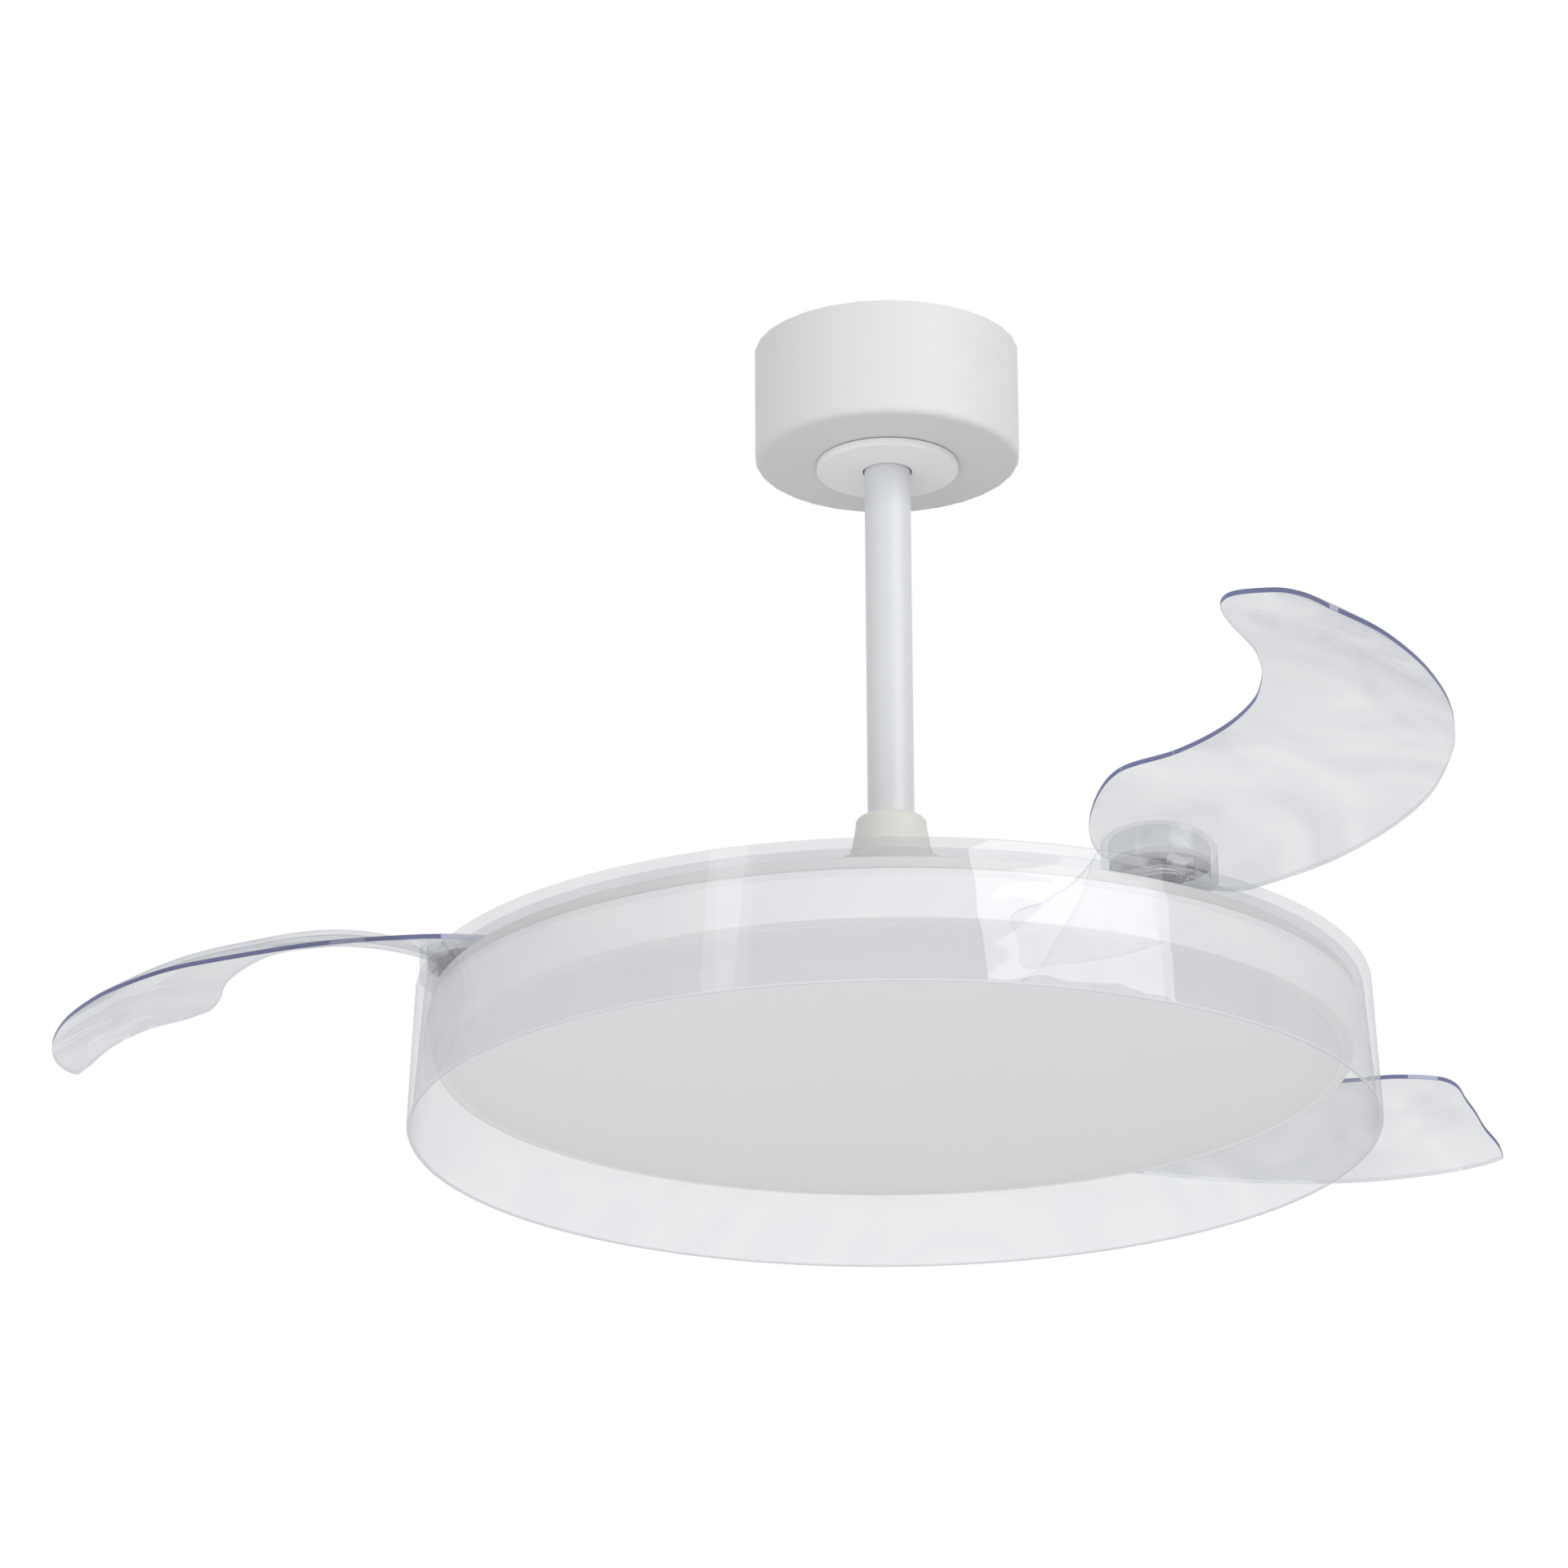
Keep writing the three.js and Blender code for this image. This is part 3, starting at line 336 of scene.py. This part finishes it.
def painted_refraction_lines(tree):
    """Painted refraction: dark lines round the axis near the pan's shoulder, standing for the blade roots and
    hubs seen bent through it. 0 on the lines, 1 elsewhere.
    """
    x, y, z = place_axes(tree)
    squares = [math_node(tree, "MULTIPLY", side, side) for side in (x, y)]
    radius = math_node(tree, "SQRT", math_node(tree, "ADD", *squares))
    angle = math_node(tree, "ARCTAN2", y, x)
    ringed = tree.nodes.new("ShaderNodeCombineXYZ")
    for axis, value, scale in (("X", radius, LINE_SCALE), ("Y", z, LINE_SCALE), ("Z", angle, LINE_DRIFT)):
        tree.links.new(math_node(tree, "MULTIPLY", value, scale), ringed.inputs[axis])
    texture = tree.nodes.new("ShaderNodeTexNoise")
    texture.inputs["Scale"].default_value = 1.0
    texture.inputs["Detail"].default_value = 3.0
    tree.links.new(ringed.outputs["Vector"], texture.inputs["Vector"])
    lines = between(tree, texture.outputs["Fac"], 0.0, 1.0)
    high = math_node(tree, "GREATER_THAN", z, (PAN_TOP - SHOULDER_DEPTH) * MM)
    outside = math_node(tree, "GREATER_THAN", radius, (PAN_TOP_RADIUS - SHOULDER_WIDTH) * MM)
    near = math_node(tree, "MULTIPLY", high, outside)
    return math_node(tree, "MAXIMUM", lines, math_node(tree, "SUBTRACT", 1.0, near))


def clear_tint(tree, facing, face_tint, grazing_tint, inner_tint, streak, ringed):
    """The colour that one face lets through, deeper where the face is seen flat, with faint streaks. The
    deeper tint near grazing view is painted refraction: the dark edge that clear plastic shows there.
    """
    # painted refraction: towards grazing view the tint turns to the grazing colour
    tint = blend_color(tree, math_node(tree, "POWER", facing, GRAZING_POWER), face_tint, grazing_tint)
    # a face seen from inside takes the inner tint, a painted reflection
    if inner_tint:
        inside = tree.nodes.new("ShaderNodeNewGeometry").outputs["Backfacing"]
        tint = blend_color(tree, inside, tint, inner_tint)
    streaks = between(tree, noise(tree, STREAK_SCALE, detail=1.5, distortion=3.5), 0.0, 1.0)
    # the lines round the shoulder are painted refraction, darkening the tint where they lie
    if ringed:
        streaks = math_node(tree, "MINIMUM", streaks, painted_refraction_lines(tree))
    shade = blend_color(tree, streaks, [streak * c for c in STREAK_TINT], (1.0, 1.0, 1.0))
    return blend_color(tree, 1.0, tint, shade, "MULTIPLY")


def clear_plastic(
    name, face_tint, grazing_tint, ripple,
    shine=0.045, inner_tint=None, streak=0.95, ringed=False, haze=0.01,
):
    """A clear wall: what is behind it shows through a tint, under a glossy, slightly wavy skin.

    Light for what stands behind the wall passes with a tint of its own, so that the wall shades it little.
    inner_tint is for a face seen from inside the plastic, such as a plate's far edge, and is a painted
    reflection:
    the lighter mirroring of an edge seen from within. streak is how much the faint darker streaks let
    through, ringed adds the painted refraction lines round the pan's shoulder, and haze is the milky share of
    what is seen.
    """
    material, tree, output = new_material(name)
    weight = tree.nodes.new("ShaderNodeLayerWeight")
    weight.inputs["Blend"].default_value = SKIN_BLEND
    facing = weight.outputs["Facing"]
    tint = clear_tint(tree, facing, face_tint, grazing_tint, inner_tint, streak, ringed)
    path = tree.nodes.new("ShaderNodeLightPath")
    lighting = math_node(tree, "MAXIMUM", path.outputs["Is Shadow Ray"], path.outputs["Is Diffuse Ray"])
    clear = tree.nodes.new("ShaderNodeBsdfTransparent")
    tree.links.new(blend_color(tree, lighting, tint, LIT_THROUGH), clear.inputs["Color"])
    milk = tree.nodes.new("ShaderNodeBsdfDiffuse")
    milk.inputs["Color"].default_value = (*MILK, 1)
    body = blend_shaders(tree, math_node(tree, "MULTIPLY_ADD", lighting, -haze, haze), clear, milk)
    gloss = tree.nodes.new("ShaderNodeBsdfGlossy")
    waves = noise(tree, WAVE_SCALE, detail=0, distortion=1.5, stretch=(1, 1, 2))
    tree.links.new(between(tree, noise(tree, 30), *SKIN_ROUGHNESS), gloss.inputs["Roughness"])
    tree.links.new(bumped(tree, waves, ripple, WAVE_DEPTH), gloss.inputs["Normal"])
    mirror = math_node(tree, "MULTIPLY_ADD", math_node(tree, "POWER", facing, SKIN_POWER), SKIN_RISE, shine)
    skin = blend_shaders(tree, mirror, body, gloss)
    tree.links.new(skin.outputs["Shader"], output.inputs["Surface"])
    return material


# ---------------------------------------------------------------- finishes
MATERIALS = {  # one for each material slot
    # the second colour of a clear material is its painted refraction near grazing view
    "clear": clear_plastic("clear", (0.927, 0.93, 0.937), (0.60, 0.62, 0.72), 0.45, streak=0.92),
    "opal": moulded("opal", (0.88, 0.885, 0.905), 0.38, grain=700, mottle=0.01),
    "white_plastic": moulded("white_plastic", (0.92, 0.923, 0.925), 0.45),
    "ivory_plastic": moulded("ivory_plastic", (0.76, 0.76, 0.72), 0.5),
    "black_plastic": moulded("black_plastic", (0.02, 0.02, 0.022), 0.5),
    "white_paint": moulded("white_paint", (0.735, 0.745, 0.755), 0.5, grain=900),
    "rod_paint": moulded("rod_paint", (0.71, 0.725, 0.745), 0.35, grain=500),
    "cream_paint": tray_enamel("cream_paint", (0.70, 0.70, 0.69), (0.84, 0.845, 0.85)),
    "steel": moulded("steel", (0.56, 0.57, 0.59), 0.3, metallic=1.0, stretch=(1, 1, 12)),
    "zinc": moulded("zinc", (0.62, 0.63, 0.64), 0.42, mottle=0.12, metallic=1.0),
    "aluminium": moulded("aluminium", (0.86, 0.87, 0.88), 0.5, metallic=0.4, stretch=(1, 12, 1)),
    "copper": moulded("copper", (0.55, 0.24, 0.12), 0.35, grain=500, metallic=1.0, stretch=(1, 1, 10)),
    "magnet": moulded("magnet", (0.06, 0.06, 0.065), 0.5, metallic=0.3),
}
# the pan's wall: its grazing tint and the lines round its shoulder are painted refraction
CLEAR_WALL = clear_plastic(
    "clear_wall", (0.945, 0.947, 0.952), (0.66, 0.68, 0.75), 0.05, streak=0.965, ringed=True, haze=0.07,
)
# the rim's faces: half milky and more mirroring, a painted highlight that draws the bright line round the rim
CLEAR_RIM_HIGHLIGHT = clear_plastic("clear_rim_highlight", (0.84, 0.85, 0.92), (0.66, 0.68, 0.78), 0.06, shine=0.25, haze=0.5)
# the blades' edge faces: the deep navy tint is painted refraction, the dark line an edge shows; the lighter
# inner tint is a painted reflection of an edge seen from within
CLEAR_EDGE = clear_plastic(
    "clear_edge", (0.12, 0.14, 0.32), (0.24, 0.27, 0.48), 0.2, shine=0.1, inner_tint=(0.80, 0.81, 0.84),
)
# the aluminium hub gets a pale, partly see-through finish: painted light that keeps it bright in the shade
# inside the cup
HUB_LIT_FINISH = frosted("hub_painted_light", (0.90, 0.90, 0.91), 0.35)
PLATED = moulded("plated", (0.90, 0.90, 0.91), 0.4, metallic=0.15, stretch=(1, 1, 8))
# Nodes with a finish of their own in place of their slot's, by their names without the number.
FINISH_OF = {"blade_hub": HUB_LIT_FINISH, "pivot_pin": PLATED, "return_spring": PLATED}


def paint_nodes():
    """Every CAD node gets its slot's material, and round faces are shaded smooth up to a crease."""
    for part in record["subparts"]:
        solid = nodes[part["node"]]
        kind = part["node"].rsplit("_", 1)[0]
        solid.data.materials.clear()
        solid.data.materials.append(FINISH_OF.get(kind, MATERIALS[part["material_slot"]]))
        solid.data.shade_smooth()
        weld = solid.modifiers.new("weld", "WELD")
        weld.merge_threshold = MERGE_DISTANCE
        crease = solid.modifiers.new("crease", "EDGE_SPLIT")
        crease.split_angle = math.radians(SOLID_CREASE)


# ---------------------------------------------------------------- meshes
def smooth_to_creases(mesh):
    mesh.shade_smooth()
    mesh.set_sharp_from_angle(angle=math.radians(PIECE_CREASE))


def new_piece(name, points, faces, materials):
    """A mesh from points in millimetres, smooth except at creases."""
    mesh = bpy.data.meshes.new(name)
    mesh.from_pydata([[c * MM for c in p] for p in points], [], faces)
    for material in materials:
        mesh.materials.append(material)
    smooth_to_creases(mesh)
    piece = bpy.data.objects.new(name, mesh)
    bpy.context.scene.collection.objects.link(piece)
    return piece


def stand_for(piece, node, body):
    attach(piece, body)
    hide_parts(node)


def polar(radius, degrees):
    a = math.radians(degrees)
    return radius * math.cos(a), radius * math.sin(a)


def circle(radius, steps):
    """Evenly spread places on a circle about the origin."""
    for k in range(steps):
        a = 2 * math.pi * k / steps
        yield radius * math.cos(a), radius * math.sin(a)


def rounded(profile):
    """Profile points (radius, height, corner radius), each corner with a radius turned into an arc."""
    points = []
    for i, (r, z, *corner) in enumerate(profile):
        here = Vector((r, z))
        if not corner:
            points.append(here)
            continue
        before = Vector(profile[i - 1][:2])
        after = Vector(profile[(i + 1) % len(profile)][:2])
        into, out = (before - here).normalized(), (after - here).normalized()
        half = into.angle(out) / 2
        reach = corner[0] / math.tan(half)
        centre = here + (into + out).normalized() * (corner[0] / math.sin(half))
        start, end = here + into * reach - centre, here + out * reach - centre
        points += [centre + start.slerp(end, k / CORNER_STEPS) for k in range(CORNER_STEPS + 1)]
    return points


def turned(name, profile, material):
    """A closed profile turned about the fan's axis; a point on the axis closes the piece there."""
    points, rings = [], []
    for r, z in rounded(profile):
        if r < ON_AXIS:
            rings.append([len(points)] * ROUND_STEPS)
            points.append((0, 0, z))
            continue
        rings.append([len(points) + k for k in range(ROUND_STEPS)])
        points += [(x, y, z) for x, y in circle(r, ROUND_STEPS)]
    faces = []
    for i, ring in enumerate(rings):
        following = rings[(i + 1) % len(rings)]
        for k in range(ROUND_STEPS):
            m = (k + 1) % ROUND_STEPS
            face = list(dict.fromkeys([ring[k], ring[m], following[m], following[k]]))
            if len(face) > 2:
                faces.append(face)
    return new_piece(name, points, faces, [material])


# ---------------------------------------------------------------- lamp
# Profiles run once round the section: (radius, height), with the roundness of the corner where it has one.
def make_trim_ring():
    lip = TRIM_FOOT + TRIM_LIP
    bore = DIFFUSER_RADIUS + SEAT
    ring = turned("trim_ring_piece", [
        (bore, lip), (bore, TRIM_FOOT, 0.8), (TRIM_FOOT_RADIUS, TRIM_FOOT, 2.2),
        (TRIM_TOP_RADIUS, TRIM_TOP, 0.5), (TRIM_TOP_RADIUS - TRIM_WALL, TRIM_TOP, 0.5),
        (TRIM_FOOT_RADIUS - TRIM_WALL + TRIM_FLARE, lip, 0.6),
    ], MATERIALS["white_plastic"])
    stand_for(ring, "trim_ring", "root")


def make_diffuser():
    crown = [
        (DIFFUSER_RADIUS * k / CROWN_STEPS, TRIM_FOOT - DIFFUSER_CROWN * (1 - (k / CROWN_STEPS) ** 2))
        for k in range(CROWN_STEPS)
    ]
    inside = DIFFUSER_RADIUS - DIFFUSER_WALL
    outside = DIFFUSER_RADIUS + DIFFUSER_FLANGE
    flange = TRIM_FOOT + TRIM_LIP + SEAT
    flange_top = flange + DIFFUSER_WALL
    floor = TRIM_FOOT + DIFFUSER_WALL
    plate = turned("diffuser_piece", [
        *crown, (DIFFUSER_RADIUS, TRIM_FOOT, 0.7), (DIFFUSER_RADIUS, flange, 0.4),
        (outside, flange, 0.3), (outside, flange_top, 0.3), (inside, flange_top, 0.3),
        (inside, floor, 1), (inside / 2, floor - DIFFUSER_CROWN * 0.75), (0, floor - DIFFUSER_CROWN),
    ], MATERIALS["opal"])
    stand_for(plate, "diffuser", "root")


def make_lamp_tray():
    skirt_foot = TRIM_FOOT + TRIM_LIP + TRAY_SKIRT_LIFT
    bead = TRAY_RADIUS + TRAY_BEAD_PROUD
    bead_top = TRAY_STEP + TRAY_BEAD
    wall = TRAY_RADIUS - TRAY_WALL
    skirt = TRAY_SKIRT_RADIUS - TRAY_WALL
    tray = turned("lamp_tray_piece", [
        (TRAY_BORE_RADIUS, TRAY_TOP), (TRAY_RADIUS, TRAY_TOP, 1.2), (TRAY_RADIUS, bead_top, 0.3),
        (bead, bead_top - TRAY_BEAD_SLOPE, 0.4), (bead, TRAY_STEP, 0.4), (TRAY_SKIRT_RADIUS, TRAY_STEP),
        (TRAY_SKIRT_RADIUS, skirt_foot), (skirt, skirt_foot), (skirt, TRAY_STEP + TRAY_WALL),
        (wall, TRAY_STEP + TRAY_WALL), (wall, TRAY_TOP - TRAY_WALL), (TRAY_BORE_RADIUS, TRAY_TOP - TRAY_WALL),
    ], MATERIALS["cream_paint"])
    stand_for(tray, "lamp_tray", "root")


# ---------------------------------------------------------------- clear pan
def drum(name, x, y, radius, low, high):
    """A closed round bar, for a hole to cut or a post to add."""
    n = DRUM_STEPS
    points = [(x + dx, y + dy, z) for z in (low, high) for dx, dy in circle(radius, n)]
    faces = [list(range(n))[::-1], list(range(n, 2 * n))]
    faces += [[k, (k + 1) % n, n + (k + 1) % n, n + k] for k in range(n)]
    return new_piece(name, points, faces, [CLEAR_WALL])


def combine(piece, tools, operation):
    """Cuts the tools from the piece, or joins them to it, and drops them."""
    bpy.ops.object.select_all(action="DESELECT")
    for tool in tools:
        tool.select_set(True)
    bpy.context.view_layer.objects.active = tools[0]
    bpy.ops.object.join()
    cut = piece.modifiers.new("cut", "BOOLEAN")
    cut.operation = operation
    cut.solver = "EXACT"
    cut.object = tools[0]
    bpy.context.view_layer.objects.active = piece
    bpy.ops.object.modifier_apply(modifier=cut.name)
    bpy.data.objects.remove(tools[0])


def make_pan():
    rim = PAN_TOP - PAN_HEIGHT
    underside = PAN_TOP - PAN_WALL
    pan = turned("clear_pan_piece", [
        (PAN_RIM_RADIUS, rim, PAN_LIP), (PAN_TOP_RADIUS, PAN_TOP, PAN_SHOULDER),
        (PAN_BORE_RADIUS, PAN_TOP, PAN_BORE_ROUND), (PAN_BORE_RADIUS, underside, PAN_BORE_ROUND),
        (PAN_TOP_RADIUS - PAN_WALL - PAN_INNER_DRAW, underside, PAN_HOLLOW),
        (PAN_RIM_RADIUS - PAN_WALL, rim, PAN_LIP),
    ], CLEAR_WALL)
    cut_from, cut_to = underside - HOLE_OVERRUN, PAN_TOP + HOLE_OVERRUN
    holes, posts = [], []
    for i in range(PAN_SCREWS):
        x, y = polar(PAN_SCREW_CIRCLE, PAN_SCREW_AZIMUTH + 360 * i / PAN_SCREWS)
        holes.append(drum("hole", x, y, PAN_SCREW_HOLE, cut_from, cut_to))
    for i in range(len(BLADES)):
        x, y = polar(PIVOT_CIRCLE, PIVOT_AZIMUTH + PIVOT_PITCH * i)
        holes.append(drum("hole", x, y, PIVOT_HOLE, cut_from, cut_to))
        for angle in (STOP_ANGLE, -FOLD_TRAVEL - STOP_ANGLE):
            dx, dy = polar(STOP_CIRCLE, STOP_FINGER_ANGLE + PIVOT_PITCH * i + angle)
            foot, head = underside + STOP_POST_ROOT, PAN_TOP + STOP_POST_HEIGHT
            posts.append(drum("post", x + dx, y + dy, STOP_POST_RADIUS, foot, head))
    combine(pan, holes, "DIFFERENCE")
    combine(pan, posts, "UNION")
    smooth_to_creases(pan.data)
    # the faces of the rim take the rim material, a painted highlight
    pan.data.materials.append(CLEAR_RIM_HIGHLIGHT)
    lip_top = (rim + PAN_LIP + PAN_LIP_MARGIN) * MM
    for polygon in pan.data.polygons:
        polygon.material_index = int(polygon.center.z < lip_top)
    stand_for(pan, "clear_pan", "rotor")


# ---------------------------------------------------------------- blades
def smooth_edge(points):
    """The centripetal curve through the points, as positions with the length run so far."""
    points = [Vector(p) for p in points]
    ends = [2 * points[0] - points[1], *points, 2 * points[-1] - points[-2]]
    spans = len(points) - 1
    path = []
    for k in range(EDGE_SAMPLES + 1):
        place = spans * k / EDGE_SAMPLES
        i = min(int(place), spans - 1)
        t = place - i
        p0, p1, p2, p3 = ends[i:i + 4]
        d0, d1, d2 = (math.sqrt((b - a).length) for a, b in ((p0, p1), (p1, p2), (p2, p3)))
        leave = ((p1 - p0) / d0 - (p2 - p0) / (d0 + d1) + (p2 - p1) / d1) * d1
        arrive = ((p2 - p1) / d1 - (p3 - p1) / (d1 + d2) + (p3 - p2) / d2) * d1
        path.append(
            p1 + leave * t + (3 * (p2 - p1) - 2 * leave - arrive) * t ** 2
            + (2 * (p1 - p2) + leave + arrive) * t ** 3
        )
    run = [0.0]
    for a, b in zip(path, path[1:]):
        run.append(run[-1] + (b - a).length)
    return path, run


def along(edge, share):
    """The point at a share of the edge's length."""
    path, run = edge
    goal = share * run[-1]
    low, high = 0, len(run) - 1
    while high - low > 1:
        middle = (low + high) // 2
        if run[middle] <= goal:
            low = middle
        else:
            high = middle
    return path[low].lerp(path[high], (goal - run[low]) / (run[high] - run[low]))


def blade_sheet():
    """Upper face of the blade: rows of points from root to tip, each from the convex to the concave edge."""
    convex, concave = smooth_edge(CONVEX_EDGE), smooth_edge(CONCAVE_EDGE)
    points = []
    for i in range(BLADE_SPAN_STEPS + 1):
        u = i / BLADE_SPAN_STEPS
        a, b = along(convex, u), along(concave, u)
        camber = CAMBER * (1 - u ** CAMBER_FADE)
        for j in range(BLADE_CHORD_STEPS + 1):
            v = j / BLADE_CHORD_STEPS
            flat = a.lerp(b, v)
            rise = v * (1 + camber - camber * v)
            points.append((flat.x, flat.y, PAN_TOP + a.z + (b.z - a.z) * rise))
    return points


def blade_leaf():
    """The blade without its cup: points, broad faces (upper and lower in turn) and narrow edge faces."""
    upper = blade_sheet()
    points = upper + [(x, y, z - BLADE_THICKNESS) for x, y, z in upper]
    below = len(upper)
    row = BLADE_CHORD_STEPS + 1
    broad, edge = [], []
    for i in range(BLADE_SPAN_STEPS):
        for j in range(BLADE_CHORD_STEPS):
            k = i * row + j
            broad.append([k, k + 1, k + row + 1, k + row])
            broad.append([below + c for c in (k, k + row, k + row + 1, k + 1)])
    for i in range(BLADE_SPAN_STEPS):
        k = i * row
        m = k + BLADE_CHORD_STEPS
        edge.append([k, k + row, below + k + row, below + k])
        edge.append([m, below + m, below + m + row, m + row])
    edge += [[j, below + j, below + j + 1, j + 1] for j in range(BLADE_CHORD_STEPS)]
    return points, broad, edge


def add_cup(points, faces, roof):
    """Adds the cup, whose wall runs up into the blade's lower face, the roof."""
    foot = PAN_TOP + CUP_LIFT
    wall_foot = foot + CUP_FOOT_EDGE
    walls = []
    for radius in (CUP_RADIUS, CUP_RADIUS - CUP_WALL):
        wall = []
        for x, y in circle(radius, CUP_STEPS):
            hit = roof.ray_cast(Vector((x, y, PAN_TOP)), Vector((0, 0, 1)))[0]
            top = (hit.z if hit else PAN_TOP + CUP_OPEN_HEIGHT) + CUP_SUNK
            wall.append([len(points) + n for n in range(CUP_RINGS + 1)])
            points += [(x, y, wall_foot + (top - wall_foot) * n / CUP_RINGS) for n in range(CUP_RINGS + 1)]
        walls.append(wall)
    outer_wall, inner_wall = walls
    for wall in walls:
        for k in range(CUP_STEPS):
            here, there = wall[k], wall[(k + 1) % CUP_STEPS]
            for n in range(CUP_RINGS):
                face = [here[n], there[n], there[n + 1], here[n + 1]]
                faces.append(face if wall is outer_wall else face[::-1])
    foot_rings = [[column[0] for column in outer_wall]]
    for radius in (CUP_RADIUS - CUP_FOOT_EDGE, CUP_RADIUS - CUP_WALL + CUP_FOOT_EDGE):
        foot_rings.append([len(points) + k for k in range(CUP_STEPS)])
        points += [(x, y, foot) for x, y in circle(radius, CUP_STEPS)]
    foot_rings.append([column[0] for column in inner_wall])
    for outer, inner in zip(foot_rings, foot_rings[1:]):
        for k in range(CUP_STEPS):
            m = (k + 1) % CUP_STEPS
            faces.append([outer[m], outer[k], inner[k], inner[m]])


def make_blades():
    points, broad, edge = blade_leaf()
    roof = BVHTree.FromPolygons([Vector(p) for p in points], broad[1::2])
    faces = broad + edge
    edge_faces = range(len(broad), len(faces))
    add_cup(points, faces, roof)
    for node, (turn, short, body) in BLADES.items():
        pivot = Vector((*polar(PIVOT_CIRCLE, PIVOT_AZIMUTH + turn), 0))
        swing = Matrix.Rotation(math.radians(turn - short), 3, "Z")
        placed = [swing @ Vector(p) + pivot for p in points]
        piece = new_piece(f"{node}_piece", placed, faces, [MATERIALS["clear"], CLEAR_EDGE])
        for polygon in piece.data.polygons:
            polygon.material_index = int(polygon.index in edge_faces)
        weld = piece.modifiers.new("weld", "WELD")
        weld.merge_threshold = MERGE_DISTANCE
        soften = piece.modifiers.new("soften", "BEVEL")
        soften.width = BLADE_EDGE_ROUND * MM
        soften.segments = BLADE_EDGE_SEGMENTS
        soften.limit_method = "ANGLE"
        soften.angle_limit = math.radians(BLADE_EDGE_ANGLE)
        soften.harden_normals = True
        stand_for(piece, node, body)


# ---------------------------------------------------------------- studio
# Metres and watts.
FLOOR_HEIGHT = -2.5
FLOOR_SIZE = 120
FLOOR_COLOR = (0.93, 0.93, 0.93)
ROOM_LIGHT = 0.6  # the world's strength as light on the object; it is seen at 1, which is white
FAN_CENTRE = Vector((0, 0, -0.35))
SOFTBOXES = {  # name: (place, width and height, power, whether it shows in glossy faces)
    "right_softbox": ((2.05, -2.2, 0.87), (2.6, 1.1), 32, True),
    "left_strip": ((-1.89, -2.33, 0.87), (0.45, 1.5), 2.7, True),
    "front_fill": ((-0.6, -3.0, -1.9), (4.0, 1.6), 40, False),
}


def floor_paint():
    """Matt pale paint on the upper side only, so that a view from beneath looks past the floor."""
    material = moulded("floor_paint", FLOOR_COLOR, 0.8, grain=60, mottle=0.01)
    tree = material.node_tree
    beneath = tree.nodes.new("ShaderNodeNewGeometry").outputs["Backfacing"]
    nothing = tree.nodes.new("ShaderNodeBsdfTransparent")
    mix = blend_shaders(tree, beneath, find_node(tree, "BSDF_PRINCIPLED"), nothing)
    tree.links.new(mix.outputs["Shader"], find_node(tree, "OUTPUT_MATERIAL").inputs["Surface"])
    return material


def make_floor():
    half = FLOOR_SIZE / 2
    mesh = bpy.data.meshes.new("floor")
    corners = [(-half, -half), (half, -half), (half, half), (-half, half)]
    mesh.from_pydata([(x, y, FLOOR_HEIGHT) for x, y in corners], [], [[0, 1, 2, 3]])
    mesh.materials.append(floor_paint())
    floor = bpy.data.objects.new("floor", mesh)
    bpy.context.scene.collection.objects.link(floor)


def make_world():
    """Seen, mirrored or looked at through the pan the world is white; as light it is softer."""
    world = bpy.data.worlds.new("studio")
    bpy.context.scene.world = world
    world.use_nodes = True
    tree = world.node_tree
    background = tree.nodes["Background"]
    background.inputs["Color"].default_value = (1, 1, 1, 1)
    path = tree.nodes.new("ShaderNodeLightPath")
    seen = math_node(tree, "MAXIMUM", path.outputs["Is Camera Ray"], path.outputs["Is Glossy Ray"])
    seen = math_node(tree, "MAXIMUM", seen, path.outputs["Is Transmission Ray"])
    strength = math_node(tree, "MULTIPLY_ADD", seen, 1 - ROOM_LIGHT, ROOM_LIGHT)
    tree.links.new(strength, background.inputs["Strength"])


def make_softboxes():
    for name, (place, size, power, mirrored) in SOFTBOXES.items():
        light = bpy.data.objects.new(name, bpy.data.lights.new(name, "AREA"))
        light.data.shape = "RECTANGLE"
        light.data.size, light.data.size_y = size
        light.data.energy = power
        light.location = place
        light.rotation_euler = (FAN_CENTRE - Vector(place)).to_track_quat("-Z", "Y").to_euler()
        light.visible_camera = False
        light.visible_glossy = mirrored
        bpy.context.scene.collection.objects.link(light)


make_camera()
paint_nodes()
make_trim_ring()
make_diffuser()
make_lamp_tray()
make_pan()
make_blades()
make_floor()
make_world()
make_softboxes()

bpy.context.scene.view_settings.view_transform = "Standard"
